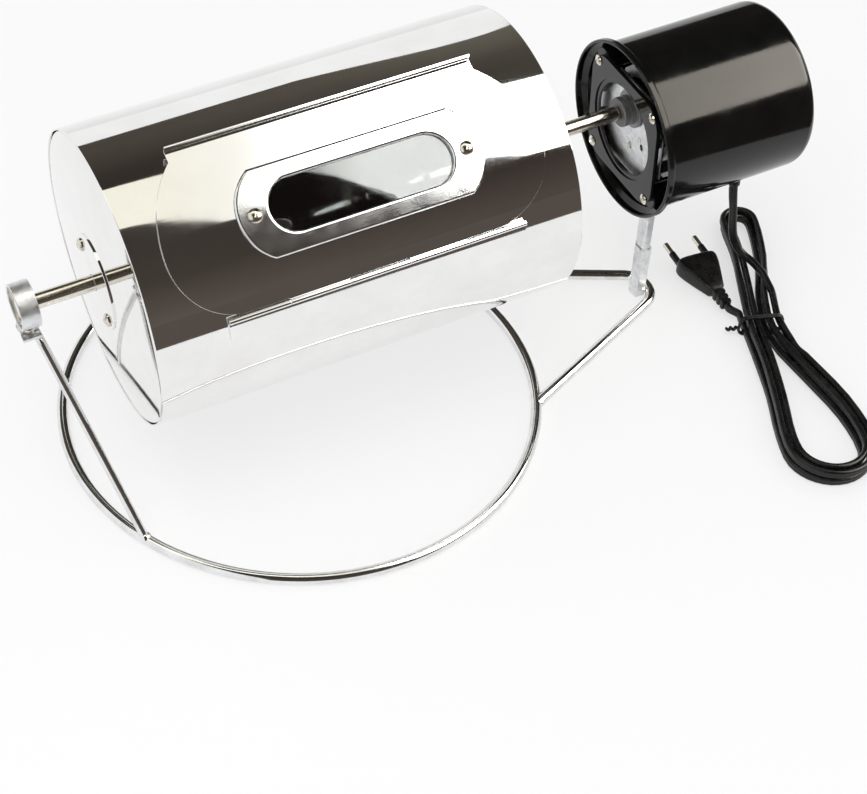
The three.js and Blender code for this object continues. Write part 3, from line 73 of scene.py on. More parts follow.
DRUM_RADIUS = 75
DRUM_HALF = 110.9
DRUM_STEPS = 240
RIM_INSET = 0.3
DOME_RISE = 4.4
SKIRT = 8
SKIRT_EDGE = 1.3
OPENING_HALF = (75, 31)
OPENING_CORNER = 12
FLANGE_RADIUS = 24.5
FLANGE_THICKNESS = 1.1
FLANGE_RIM = 0.85
FLANGE_SCREW_REACH = 19.15
SHAFT_HEAD = (8, 2)
SCREW_HEAD = (3.5, 2.1)
SCREW_SHANK = 1.5

DOOR_ANGLE = math.radians(48.2)
DOOR_HALF = 96.5
DOOR_WIDE_S = -7
UPPER_CORNER = 60.5
LOWER_CORNER = 35
DOOR_TOP_S = 43.5
LIP_HALF = 78
LIP_HEIGHT = 4.2
LIP_BEND = 0.6
LIP_TURN = math.radians(99)
DOOR_FLAT_S = 24  # the door is flat from here to its fold
HINGE_ANGLE = math.radians(15.3)
HINGE_SHIFT = 2
HINGE_LENGTH = 154.6
KNUCKLES = 5
HINGE_REACH = 77
KNUCKLE_RADIUS = 1.25
KNUCKLE_BORE = 0.95
KNUCKLE_GAP = 0.2
PIN_RADIUS = 0.8
LEAF_HEIGHT = 9
LEAF_SETBACK = 1.5

WINDOW_SHIFT = 3.7
WINDOW_HALF = 34
WINDOW_RADIUS = 12.6
FRAME_THICKNESS = 1.5
FRAME_SUNK = 0.8
FRAME_EDGE = 1.3
FRAME_BEND = 270
FRAME_HALF_HEIGHT = 21.4
FRAME_HALF = 50.8
FRAME_BULGE = 11.7
GLASS_MARGIN = 2.7
GLASS_SPAN = (74.6, 75.5)
BACK_FRAME_HALF = (66, 24)
WINDOW_SCREW_REACH = 54

BEARING_X = -151
BEARING_HALF = 3.5
OUTER_RACE = (10.4, 8.5)
INNER_RACE = (6, 4.3)
SHIELD_INSET = 0.5
BAND_HALF = 4.8
BAND_THICKNESS = 1.4
BAND_RADIUS = 11.1
EAR_Y = 1.8
FOOT_Y = 6
FOOT_BOTTOM = -18.2
BAND_BEND = 1.6
BAND_SCREW_Z = -14.8

BASE_WIRE = 3
RING_RADIUS = 127.7
FORK_FOOT = 58
FORK_TIP_X = 211.8
FORK_BEND = 14.5
LEG_WIRE = 2.25
LEG_FOOT = 60
LEG_BEND = 6
LEG_TOP_INSET = 3

UPRIGHT_HALF = 4.25
UPRIGHT_WALL = 1.5
UPRIGHT_BACK_X = 207.9
UPRIGHT_DEPTH = 6.2
UPRIGHT_STEP = (37, 1.3)
UPRIGHT_TOP = 104
UPRIGHT_LIFT = 0.4
UPRIGHT_BEND = 1.3

MOTOR_DROP = 12.6
COVER_X = (177.8, 271.8)
COVER_RADIUS = 45.85
COVER_LIP = (49, 3.5, 2)
COVER_WALL = 1.6
COVER_CORNER = 6
BOSS = (6.2, 2, 16)
ADAPTER_X = (178.4, 180.9)
ADAPTER_HALF = 33
ADAPTER_CORNER = 14
ADAPTER_HOLE = (25.5, 28)
ADAPTER_SCREW_REACH = 27.3
ADAPTER_SCREW_HEAD = (3, 1.6)
GEAR_PLATE_X = (184, 185.3)
GEAR_PLATE_HALF = (31, 29)
GEAR_PLATE_CUT = 44
POST_REACH = (27, 9)
POST_RADIUS = 3
POST_BACK_X = 244
BUSH = (8, 10.5, 1.5)
BUSH_X = (175.1, 183.7)
OUTPUT_RADIUS = 2.7
SHAFT_END_X = 174.5
SET_SCREW_X = 156.7
SET_SCREW = (1.5, 2)

CORD_WIDTH = 5.2
CORD_THICKNESS = 3.4
RELIEF_X = 258
RELIEF_LENGTH = 22
RELIEF_TOP = 5.5
RELIEF_BOTTOM = 3.4
RELIEF_COLLAR = 2

HANK_WAIST = (250.8, -59.3)
HANK_HEADING = math.radians(72.5)
UPPER_REACH = 101
LOWER_REACH = 118
UPPER_HALF = 13
LOWER_HALF = 24.5
WAIST_HALF = 9.2
HANK_PITCH = 4.6
HANK_LAYER = 5.8
HANK_SWAY = (12, 45)
HANK_LIFT = (2.4, 45)
HANK_REST = 2.7
LOOP_STEPS = 24
START_PHASE = 7
HANK_LOOPS = 3.475
ARC_STEPS = 3
FINER = 3  # rings of the smooth flex for each step of the loops
TIE_WIRE = 0.75
TWIST_STEPS = 15

PLUG_TAIL = Vector((243.2, -36, 6))
PLUG_NOSE = Vector((245.6, 3, 7))
PLUG_HALF = (12.5, 6.5)
PIN_SPACING = 19
PIN = (2, 19)
PIN_SLEEVE = 10

# Points of the lead between the strain relief and the hank
LEAD_ROUTE = [
    (262, -1.4, 50), (262.3, -3, 43), (262.4, -4.2, 36), (263, -5.2, 29.5), (264.4, -6.6, 23.5),
    (266.4, -9, 18.6), (268.6, -12.8, 15.8), (270.2, -18, 15.2), (270.4, -24.5, 15.2), (269.6, -31, 16),
    (268.1, -37.5, 15.9), (266.8, -44.5, 15), (264, -52.5, 12.8), (261, -60.2, 11.7), (259.4, -68, 10.9),
    (258.4, -77, 10), (257.7, -86, 9.2),
]

# Shapes: each is a bmesh whose face corners carry their own normals

CORNER = "corner normal"
SMOOTH_LIMIT = math.cos(math.radians(40))
EXACT = 0.9999


def shaded(bm, flat_ends=False, radial=False):
    """Faces that lean alike share normals, weighed by area, so that flats stay flat beside their round edges."""
    layer = bm.loops.layers.float_vector.get(CORNER) or bm.loops.layers.float_vector.new(CORNER)
    bm.normal_update()
    area = {face: face.calc_area() for face in bm.faces}
    for face in bm.faces:
        wall = Vector((0, *face.calc_center_median().yz)).normalized() if radial else None
        for loop in face.loops:
            if flat_ends and abs(face.normal.z) > EXACT:
                loop[layer] = face.normal
            elif radial and abs(face.normal.dot(wall)) > EXACT - 0.01:
                outwards = Vector((0, *loop.vert.co.yz)).normalized()
                loop[layer] = outwards * math.copysign(1, face.normal.dot(wall))
            else:
                alike = [f for f in loop.vert.link_faces if f.normal.dot(face.normal) > SMOOTH_LIMIT]
                total = sum((f.normal * area[f] for f in alike), Vector())
                loop[layer] = total.normalized()
    return bm


def moved(bm, place):
    """The shape taken to its place, its corner normals turned with it."""
    layer = bm.loops.layers.float_vector[CORNER]
    turn = place.to_3x3().normalized()
    for face in bm.faces:
        for loop in face.loops:
            loop[layer] = turn @ loop[layer]
    bmesh.ops.transform(bm, matrix=place, verts=bm.verts)
    if place.determinant() < 0:
        bmesh.ops.reverse_faces(bm, faces=bm.faces)
    return bm


def bent(bm, bend):
    """A flat shape laid on a curved surface: bend gives a point's place and the three directions there."""
    layer = bm.loops.layers.float_vector[CORNER]
    places = {vert: bend(vert.co) for vert in bm.verts}
    for face in bm.faces:
        for loop in face.loops:
            directions = places[loop.vert][1]
            loop[layer] = sum((way * part for way, part in zip(directions, loop[layer])), Vector())
    for vert, (place, _) in places.items():
        vert.co = place
    return bm


def joined(*shapes):
    total = bmesh.new()
    total.loops.layers.float_vector.new(CORNER)
    for shape in shapes:
        mesh = bpy.data.meshes.new("part")
        shape.to_mesh(mesh)
        total.from_mesh(mesh)
        bpy.data.meshes.remove(mesh)
        shape.free()
    return total


def carved(bm, *cutters):
    """The shape without the room of the cutters. Its corners are shaded again afterwards."""
    objects = []
    for shape in (bm, *cutters):
        mesh = bpy.data.meshes.new("blank")
        shape.to_mesh(mesh)
        shape.free()
        blank = bpy.data.objects.new("blank", mesh)
        bpy.context.scene.collection.objects.link(blank)
        objects.append(blank)
    whole, *tools = objects
    for tool in tools:
        cut = whole.modifiers.new("cut", "BOOLEAN")
        cut.operation, cut.solver, cut.object = "DIFFERENCE", "EXACT", tool
    rest = bpy.data.meshes.new_from_object(whole.evaluated_get(bpy.context.evaluated_depsgraph_get()))
    out = bmesh.new()
    out.from_mesh(rest)
    for blank in objects:
        bpy.data.meshes.remove(blank.data)
    bpy.data.meshes.remove(rest)
    return out


def filleted(points, closed=True, steps=4):
    """An outline of (x, y) points, with an arc at each point that has a third value, its radius."""
    out = []
    count = len(points)
    for index, point in enumerate(points):
        here = Vector(point[:2])
        radius = point[2] if len(point) > 2 else 0
        if not radius or (not closed and index in (0, count - 1)):
            out.append(tuple(here))
            continue
        before = (Vector(points[index - 1][:2]) - here).normalized()
        after = (Vector(points[(index + 1) % count][:2]) - here).normalized()
        half = before.angle(after) / 2
        centre = here + (before + after).normalized() * radius / math.sin(half)
        first = here + before * radius / math.tan(half) - centre
        last = here + after * radius / math.tan(half) - centre
        start = math.atan2(first.y, first.x)
        turn = (math.atan2(last.y, last.x) - start + math.pi) % (2 * math.pi) - math.pi
        for step in range(steps + 1):
            angle = start + turn * step / steps
            out.append((centre.x + radius * math.cos(angle), centre.y + radius * math.sin(angle)))
    return out


def arc(x, y, radius, start, end, steps=16):
    turn = [start + (end - start) * step / steps for step in range(steps + 1)]
    return [(x + radius * math.cos(angle), y + radius * math.sin(angle)) for angle in turn]


def rounded_rectangle(half_x, half_y, corner):
    return filleted([(sx * half_x, sy * half_y, corner) for sx, sy in ((1, -1), (1, 1), (-1, 1), (-1, -1))], steps=8)


def lathe(profile, steps=96, radial=False, shade=True):
    """A profile of (x, radius, fillet) points turned about the X axis, open only where it ends on the axis."""
    closed = profile[0][1] > 0 or profile[-1][1] > 0
    bm = bmesh.new()
    verts = [bm.verts.new((x, 0, radius)) for x, radius in filleted(profile, closed)]
    edges = [bm.edges.new(pair) for pair in zip(verts, verts[1:])]
    if closed:
        edges.append(bm.edges.new((verts[-1], verts[0])))
    bmesh.ops.spin(
        bm, geom=verts + edges, cent=(0, 0, 0), axis=X, angle=2 * math.pi, steps=steps, use_merge=True,
    )
    bmesh.ops.remove_doubles(bm, verts=bm.verts, dist=FINE_EDGE * MM)
    bmesh.ops.recalc_face_normals(bm, faces=bm.faces)
    return shaded(bm, radial=radial) if shade else bm


def loft(rings, closed=False):
    """Skin over rings of points, capped at both ends unless it closes on itself."""
    bm = bmesh.new()
    place = bm.verts.layers.int.new("place in ring")
    first, *others = rings
    verts = [bm.verts.new(point) for point in first]
    for index, vert in enumerate(verts):
        vert[place] = index
    edges = [bm.edges.new(pair) for pair in zip(verts, verts[1:] + verts[:1])]
    for ring in others:
        grown = bmesh.ops.extrude_edge_only(bm, edges=edges)["geom"]
        edges = [item for item in grown if isinstance(item, bmesh.types.BMEdge) and item.is_boundary]
        for vert in {vert for edge in edges for vert in edge.verts}:
            vert.co = ring[vert[place]]
    if closed:
        bmesh.ops.remove_doubles(bm, verts=bm.verts, dist=FINE_EDGE * MM)
    else:
        bmesh.ops.edgeloop_fill(bm, edges=[edge for edge in bm.edges if edge.is_boundary])
    bmesh.ops.recalc_face_normals(bm, faces=bm.faces)
    return shaded(bm)


def tangents(path):
    last = len(path) - 1
    return [(path[min(i + 1, last)] - path[max(i - 1, 0)]).normalized() for i in range(last + 1)]


def sweep(path, section, sides=None):
    """A section of (side, up) points carried along a path, without a twist where no sides are given."""
    headings = tangents(path)
    if sides is None:
        sides = [headings[0].orthogonal().normalized()]
        for before, heading in zip(headings, headings[1:]):
            sides.append(before.rotation_difference(heading) @ sides[-1])
    rings = []
    for point, heading, side in zip(path, headings, sides):
        up = side.cross(heading)
        rings.append([point + side * a + up * b for a, b in section])
    return loft(rings)


def circle(radius, steps=24):
    return [(radius * math.cos(2 * math.pi * i / steps), radius * math.sin(2 * math.pi * i / steps)) for i in range(steps)]


def inwards(outline):
    """The direction into the material at each point of an outline that has the material on its left."""
    out = []
    for index, point in enumerate(outline):
        before = (Vector(point) - Vector(outline[index - 1])).normalized()
        after = (Vector(outline[(index + 1) % len(outline)]) - Vector(point)).normalized()
        left = (Vector((-before.y, before.x)) + Vector((-after.y, after.x))).normalized()
        out.append(left / max(left.dot(Vector((-before.y, before.x))), 0.5))
    return out


def facing(outline, anticlockwise):
    area = sum(a[0] * b[1] - b[0] * a[1] for a, b in zip(outline, outline[1:] + outline[:1]))
    return outline if (area > 0) == anticlockwise else outline[::-1]


def slab(outlines, low, high, edge=FINE_EDGE, rows=()):
    """A flat sheet with round edges between two heights: the first outline is its rim, the others its holes."""
    bm = bmesh.new()
    place = bm.verts.layers.int.new("place in outline")
    quarter = [math.pi / 2 * step / 3 for step in range(4)]
    layers = [(edge * (1 - math.sin(a)), low + edge * (1 - math.cos(a))) for a in quarter]
    layers += [(edge * (1 - math.cos(a)), high - edge * (1 - math.sin(a))) for a in quarter]
    ends = ([], [])
    for number, outline in enumerate(outlines):
        outline = facing([tuple(point) for point in outline], number == 0)
        ways = inwards(outline)
        inset, height = layers[0]
        verts = []
        for index, (point, way) in enumerate(zip(outline, ways)):
            spot = Vector(point) + way * inset
            vert = bm.verts.new((spot.x, spot.y, height))
            vert[place] = index
            verts.append(vert)
        edges = [bm.edges.new(pair) for pair in zip(verts, verts[1:] + verts[:1])]
        ends[0].extend(edges)
        for inset, height in layers[1:]:
            grown = bmesh.ops.extrude_edge_only(bm, edges=edges)["geom"]
            edges = [item for item in grown if isinstance(item, bmesh.types.BMEdge) and item.is_boundary]
            for vert in {vert for edge_ in edges for vert in edge_.verts}:
                spot = Vector(outline[vert[place]]) + ways[vert[place]] * inset
                vert.co = (spot.x, spot.y, height)
        ends[1].extend(edges)
    for rim in ends:
        bmesh.ops.triangle_fill(bm, edges=rim, use_beauty=True)
    for row in rows:
        everything = bm.verts[:] + bm.edges[:] + bm.faces[:]
        bmesh.ops.bisect_plane(bm, geom=everything, plane_co=(0, row, 0), plane_no=(0, 1, 0), dist=FINE_EDGE * MM)
    bmesh.ops.recalc_face_normals(bm, faces=bm.faces)
    return shaded(bm, flat_ends=True)


# A slab drawn in Y and Z, its thickness along X
ACROSS = Matrix(((0, 0, 1, 0), (1, 0, 0, 0), (0, 1, 0, 0), (0, 0, 0, 1)))


def at(bm, x=0, y=0, z=0):
    return moved(bm, Matrix.Translation((x, y, z)))


def mirrored(bm):
    return moved(bm, Matrix.Scale(-1, 4, X))


def cross_recess(head_height, reach, width, depth):
    """Cutter for the cross of a screw whose head points along +X."""
    blades = []
    for turn in (0, math.pi / 2):
        bm = bmesh.new()
        bmesh.ops.create_cube(bm, size=1)
        bmesh.ops.scale(bm, vec=(2 * depth, width, 2 * reach), verts=bm.verts)
        for vert in bm.verts:
            if vert.co.x < 0:
                vert.co.z *= 0.35
        bmesh.ops.translate(bm, vec=(head_height, 0, 0), verts=bm.verts)
        bmesh.ops.rotate(bm, matrix=Matrix.Rotation(turn + math.pi / 4, 3, "X"), verts=bm.verts)
        blades.append(bm)
    return blades


def screw(head_radius, head_height, shank_radius, length, steps=40):
    """Domed screw with a cross recess: its seat at x = 0, its head towards +X."""
    skirt = head_height * 0.25
    rise = head_height - skirt
    ball = (head_radius**2 + rise**2) / (2 * rise)
    spread = math.asin(min(head_radius / ball, 1))
    dome = [
        (head_height - ball + ball * math.cos(spread * step / 8), ball * math.sin(spread * step / 8))
        for step in range(9)
    ]
    profile = [*dome, (0, head_radius), (0, shank_radius), (-length, shank_radius), (-length, 0)]
    head = lathe(profile, steps, shade=False)
    reach, width, depth = head_radius * 0.52, head_radius * 0.2, head_height * 0.55
    return shaded(carved(head, *cross_recess(head_height, reach, width, depth)))


# Finishes


def node(tree, kind, inputs=None, **settings):
    made = tree.nodes.new(kind)
    for name, value in settings.items():
        setattr(made, name, value)
    for name, value in (inputs or {}).items():
        if isinstance(value, bpy.types.NodeSocket):
            tree.links.new(value, made.inputs[name])
        else:
            made.inputs[name].default_value = value
    return made


def group(name, inputs, outputs):
    tree = bpy.data.node_groups.new(name, "ShaderNodeTree")
    for label, value in inputs.items():
        socket = tree.interface.new_socket(label, in_out="INPUT", socket_type="NodeSocketFloat")
        socket.default_value = value
    for label in outputs:
        tree.interface.new_socket(label, in_out="OUTPUT", socket_type="NodeSocketFloat")
    return tree, tree.nodes.new("NodeGroupInput"), tree.nodes.new("NodeGroupOutput")


def handling_marks():
    """Smudges and small dents of a handled surface, over the object."""
    tree, given, out = group("handling marks", {"Scale": 60, "Contrast": 0.3}, ("Mask", "Height"))
    place = node(tree, "ShaderNodeTexCoord").outputs["Object"]
    cloud = node(tree, "ShaderNodeTexNoise", {"Vector": place, "Scale": given.outputs["Scale"], "Detail": 6.0, "Roughness": 0.62})
    half = node(tree, "ShaderNodeMath", {0: given.outputs["Contrast"], 1: 0.5}, operation="MULTIPLY").outputs[0]
    low = node(tree, "ShaderNodeMath", {0: 0.5, 1: half}, operation="SUBTRACT").outputs[0]
    high = node(tree, "ShaderNodeMath", {0: 0.5, 1: half}, operation="ADD").outputs[0]
    mask = node(tree, "ShaderNodeMapRange", {"Value": cloud.outputs["Fac"], "From Min": low, "From Max": high})
    fine = node(tree, "ShaderNodeMath", {0: given.outputs["Scale"], 1: 11.0}, operation="MULTIPLY").outputs[0]
    grain = node(tree, "ShaderNodeTexNoise", {"Vector": place, "Scale": fine, "Detail": 3.0})
    tree.links.new(mask.outputs["Result"], out.inputs["Mask"])
    tree.links.new(grain.outputs["Fac"], out.inputs["Height"])
    return tree


def tool_marks():
    """Fine lines round the drive line, as from turning and polishing on a lathe."""
    tree, given, out = group("tool marks", {"Scale": 3000, "Stray": 12}, ("Mask", "Height"))
    place = node(tree, "ShaderNodeTexCoord").outputs["Object"]
    level = node(tree, "ShaderNodeMapping", {"Vector": place, "Rotation": (0, TILT, 0)}).outputs["Vector"]
    parts = node(tree, "ShaderNodeSeparateXYZ", {"Vector": level})
    along = node(tree, "ShaderNodeMath", {0: parts.outputs["X"], 1: given.outputs["Scale"]}, operation="MULTIPLY").outputs[0]
    side = node(tree, "ShaderNodeMath", {0: parts.outputs["Y"], 1: given.outputs["Stray"]}, operation="MULTIPLY").outputs[0]
    up = node(tree, "ShaderNodeMath", {0: parts.outputs["Z"], 1: given.outputs["Stray"]}, operation="MULTIPLY").outputs[0]
    spread = node(tree, "ShaderNodeCombineXYZ", {"X": along, "Y": side, "Z": up}).outputs[0]
    lines = node(tree, "ShaderNodeTexNoise", {"Vector": spread, "Scale": 1.0, "Detail": 4.0, "Roughness": 0.7})
    mask = node(tree, "ShaderNodeMapRange", {"Value": lines.outputs["Fac"], "From Min": 0.35, "From Max": 0.65})
    tree.links.new(mask.outputs["Result"], out.inputs["Mask"])
    tree.links.new(lines.outputs["Fac"], out.inputs["Height"])
    return tree


def sheet_waves():
    """The slow unevenness of rolled sheet, seen as bent reflections."""
    tree, given, out = group("sheet waves", {"Scale": 16}, ("Height",))
    place = node(tree, "ShaderNodeTexCoord").outputs["Object"]
    wave = node(tree, "ShaderNodeTexNoise", {"Vector": place, "Scale": given.outputs["Scale"], "Detail": 1.0})
    tree.links.new(wave.outputs["Fac"], out.inputs["Height"])
    return tree


HANDLING, TOOL_MARKS, SHEET_WAVES = handling_marks(), tool_marks(), sheet_waves()


class Finish:
    """A material under construction: marks mix its colours, set its roughness and give it relief."""

    def __init__(self, name, roughness, metallic=0.0, **sockets):
        self.material = bpy.data.materials.new(name)
        self.material.use_nodes = True
        self.tree = self.material.node_tree
        self.surface = self.tree.nodes["Principled BSDF"]
        self.surface.inputs["Roughness"].default_value = roughness
        self.surface.inputs["Metallic"].default_value = metallic
        for label, value in sockets.items():
            self.surface.inputs[label].default_value = value
        self.normal = None

    def marks(self, kind, **values):
        made = self.tree.nodes.new("ShaderNodeGroup")
        made.node_tree = kind
        for label, value in values.items():
            made.inputs[label].default_value = value
        return made.outputs

    def colours(self, mask, clean, worn):
        mix = node(self.tree, "ShaderNodeMix", {"Factor": mask, 6: (*clean, 1), 7: (*worn, 1)}, data_type="RGBA")
        self.tree.links.new(mix.outputs[2], self.surface.inputs["Base Color"])
        return self

    def roughness(self, mask, low, high):
        spread = node(self.tree, "ShaderNodeMapRange", {"Value": mask, "To Min": low, "To Max": high})
        self.tree.links.new(spread.outputs["Result"], self.surface.inputs["Roughness"])
        return self

    def relief(self, height, distance, strength=1.0):
        bump = node(self.tree, "ShaderNodeBump", {"Height": height, "Distance": distance, "Strength": strength})
        if self.normal:
            self.tree.links.new(self.normal, bump.inputs["Normal"])
        self.normal = bump.outputs["Normal"]
        self.tree.links.new(self.normal, self.surface.inputs["Normal"])
        return self


def mirror_steel():
    made = Finish("mirror_steel", 0.04, 1.0)
    smudge = made.marks(HANDLING, Scale=38.0, Contrast=0.32)
    wave = made.marks(SHEET_WAVES, Scale=13.0)
    made.colours(smudge["Mask"], (0.87, 0.868, 0.865), (0.82, 0.815, 0.81))
    made.roughness(smudge["Mask"], 0.025, 0.06)
    return made.relief(wave["Height"], 0.0006, 0.35).material


def wire_chrome():
    made = Finish("wire_chrome", 0.08, 1.0)
    smudge = made.marks(HANDLING, Scale=90.0, Contrast=0.3)
    made.colours(smudge["Mask"], (0.84, 0.85, 0.86), (0.7, 0.7, 0.69))
    made.roughness(smudge["Mask"], 0.07, 0.13)
    return made.relief(smudge["Height"], 0.00002, 0.3).material


def turned_steel():
    made = Finish("turned_steel", 0.22, 1.0)
    lines = made.marks(TOOL_MARKS, Scale=2600.0, Stray=10.0)
    made.colours(lines["Mask"], (0.8, 0.77, 0.69), (0.66, 0.62, 0.54))
    made.roughness(lines["Mask"], 0.12, 0.22)
    return made.relief(lines["Height"], 0.00003, 0.6).material


def zinc_sheet():
    made = Finish("zinc_sheet", 0.35, 1.0)
    smudge = made.marks(HANDLING, Scale=150.0, Contrast=0.3)
    place = node(made.tree, "ShaderNodeTexCoord").outputs["Object"]
    flake = node(made.tree, "ShaderNodeTexVoronoi", {"Vector": place, "Scale": 420.0, "Randomness": 1.0})
    made.colours(flake.outputs["Color"], (0.86, 0.87, 0.88), (0.64, 0.66, 0.68))
    made.roughness(smudge["Mask"], 0.3, 0.48)
    return made.relief(smudge["Height"], 0.00008, 0.5).material


def black_plastic():
    made = Finish("black_plastic", 0.07, 0.0, IOR=1.42)
    smudge = made.marks(HANDLING, Scale=55.0, Contrast=0.35)
    made.colours(smudge["Mask"], (0.003, 0.003, 0.0032), (0.006, 0.0058, 0.0055))
    made.roughness(smudge["Mask"], 0.06, 0.16)
    return made.relief(smudge["Height"], 0.00004, 0.35).material


def black_steel():
    made = Finish("black_steel", 0.35, 0.7)
    smudge = made.marks(HANDLING, Scale=260.0, Contrast=0.4)
    made.colours(smudge["Mask"], (0.02, 0.02, 0.022), (0.06, 0.057, 0.052))
    made.roughness(smudge["Mask"], 0.28, 0.5)
    return made.relief(smudge["Height"], 0.00006, 0.5).material


def cage_brass():
    made = Finish("cage_brass", 0.3, 1.0)
    smudge = made.marks(HANDLING, Scale=300.0, Contrast=0.4)
    made.colours(smudge["Mask"], (0.62, 0.45, 0.2), (0.42, 0.28, 0.11))
    made.roughness(smudge["Mask"], 0.2, 0.42)
    return made.relief(smudge["Height"], 0.00004, 0.5).material


def laminations():
    made = Finish("laminations", 0.5, 0.9)
    stack = made.marks(TOOL_MARKS, Scale=2000.0, Stray=0.0)
    made.colours(stack["Mask"], (0.3, 0.31, 0.33), (0.12, 0.115, 0.11))
    made.roughness(stack["Mask"], 0.4, 0.65)
    return made.relief(stack["Height"], 0.0001, 0.8).material


def coil_tape():
    made = Finish("coil_tape", 0.5)
    turns = made.marks(TOOL_MARKS, Scale=700.0, Stray=0.0)
    made.colours(turns["Mask"], (0.33, 0.16, 0.04), (0.22, 0.1, 0.025))
    made.roughness(turns["Mask"], 0.4, 0.6)
    return made.relief(turns["Height"], 0.00015, 0.7).material


def gear_nylon():
    made = Finish("gear_nylon", 0.45, 0.0, **{"Subsurface Weight": 0.1})
    smudge = made.marks(HANDLING, Scale=220.0, Contrast=0.35)
    made.colours(smudge["Mask"], (0.72, 0.69, 0.6), (0.55, 0.5, 0.4))
    made.roughness(smudge["Mask"], 0.35, 0.55)
    return made.relief(smudge["Height"], 0.00005, 0.5).material


def window_glass():
    made = Finish("window_glass", 0.01, 0.0, **{"IOR": 1.7, "Transmission Weight": 1.0})
    smudge = made.marks(HANDLING, Scale=70.0, Contrast=0.4)
    made.colours(smudge["Mask"], (0.7, 0.73, 0.72), (0.64, 0.67, 0.66))
    return made.roughness(smudge["Mask"], 0.0, 0.03).material


def cord_black():
    made = Finish("cord_black", 0.3, 0.0, IOR=1.36)
    smudge = made.marks(HANDLING, Scale=140.0, Contrast=0.35)
    made.colours(smudge["Mask"], (0.005, 0.005, 0.0055), (0.011, 0.0105, 0.01))
    made.roughness(smudge["Mask"], 0.2, 0.36)
    return made.relief(smudge["Height"], 0.00008, 0.5).material


def catch_magnet():
    made = Finish("catch_magnet", 0.45, 0.6)
    smudge = made.marks(HANDLING, Scale=400.0, Contrast=0.4)
    made.colours(smudge["Mask"], (0.1, 0.1, 0.105), (0.05, 0.048, 0.045))
    made.roughness(smudge["Mask"], 0.35, 0.6)
    return made.relief(smudge["Height"], 0.00005, 0.5).material


FINISHES = {
    make.__name__: make()
    for make in (
        mirror_steel, wire_chrome, turned_steel, zinc_sheet, black_plastic, black_steel, cage_brass,
        laminations, coil_tape, gear_nylon, window_glass, cord_black, catch_magnet,
    )
}


def add(name, bm, finish, body, nodes=(), place=STAND):
    """The finished piece: in its place, in its finish, on its body, standing for its nodes."""
    moved(bm, place)
    layer = bm.loops.layers.float_vector[CORNER]
    normals = [tuple(loop[layer]) for face in bm.faces for loop in face.loops]
    for face in bm.faces:
        face.smooth = True
    bm.loops.layers.float_vector.remove(layer)
    mesh = bpy.data.meshes.new(name)
    bm.to_mesh(mesh)
    bm.free()
    mesh.normals_split_custom_set(normals)
    mesh.materials.append(FINISHES[finish])
    made = bpy.data.objects.new(name, mesh)
    bpy.context.scene.collection.objects.link(made)
    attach(made, body)
    if nodes:
        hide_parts(*nodes)
    return made


ON_DRIVE = STAND @ DRIVE

# Camera: fitted to the ends of the drum, the ring and the shafts in the photograph

LENS = 84.3
CAMERA_PLACE = Vector((-378.888, -704.59, 791.12)) * MM
YAW, PITCH, ROLL = -0.5130, 0.7945, 0.0644


def make_camera():
    forward = Vector((-math.sin(YAW) * math.cos(PITCH), math.cos(YAW) * math.cos(PITCH), -math.sin(PITCH)))
    right = Vector((math.cos(YAW), math.sin(YAW), 0))
    up = right.cross(forward)
    level_right = right * math.cos(ROLL) + up * math.sin(ROLL)
    level_up = up * math.cos(ROLL) - right * math.sin(ROLL)
    data = bpy.data.cameras.new("camera")
    data.lens, data.sensor_width, data.sensor_fit = LENS, 36, "HORIZONTAL"
    data.clip_start, data.clip_end = 0.01, 50
    camera = bpy.data.objects.new("camera", data)
    turn = Matrix((level_right, level_up, -forward)).transposed().to_4x4()
    camera.matrix_world = Matrix.Translation(CAMERA_PLACE) @ turn
    bpy.context.scene.collection.objects.link(camera)
    bpy.context.scene.camera = camera


make_camera()

# Flex: lead, hank and tail in one

HANK_ALONG = Vector((math.cos(HANK_HEADING), math.sin(HANK_HEADING), 0))
HANK_ACROSS = Vector((math.sin(HANK_HEADING), -math.cos(HANK_HEADING), 0))


def eased(t):
    return t * t * (3 - 2 * t)


def loop_place(phase, inset):
    """(along, across) on a loop: it runs from the top down the right side and up the left."""
    wrapped = phase % LOOP_STEPS
    side = 1 if wrapped <= LOOP_STEPS / 2 else -1
    step = wrapped if side > 0 else LOOP_STEPS - wrapped
    upper, lower, waist = UPPER_HALF - inset, LOWER_HALF - inset, WAIST_HALF - inset
    upper_end, lower_end = UPPER_REACH - UPPER_HALF, LOWER_REACH - LOWER_HALF
    run_steps = LOOP_STEPS / 2 - 2 * ARC_STEPS
    if step < ARC_STEPS:
        angle = step / ARC_STEPS * math.pi / 2
        return upper_end + upper * math.cos(angle), side * upper * math.sin(angle)
    if step > ARC_STEPS + run_steps:
        angle = (LOOP_STEPS / 2 - step) / ARC_STEPS * math.pi / 2
        return -lower_end - lower * math.cos(angle), side * lower * math.sin(angle)
    along = upper_end - (step - ARC_STEPS) / run_steps * (upper_end + lower_end)
    if along > 0:
        width = waist + (upper - waist) * eased(along / upper_end)
    else:
        width = waist + (lower - waist) * eased(-along / lower_end)
    return along, side * width


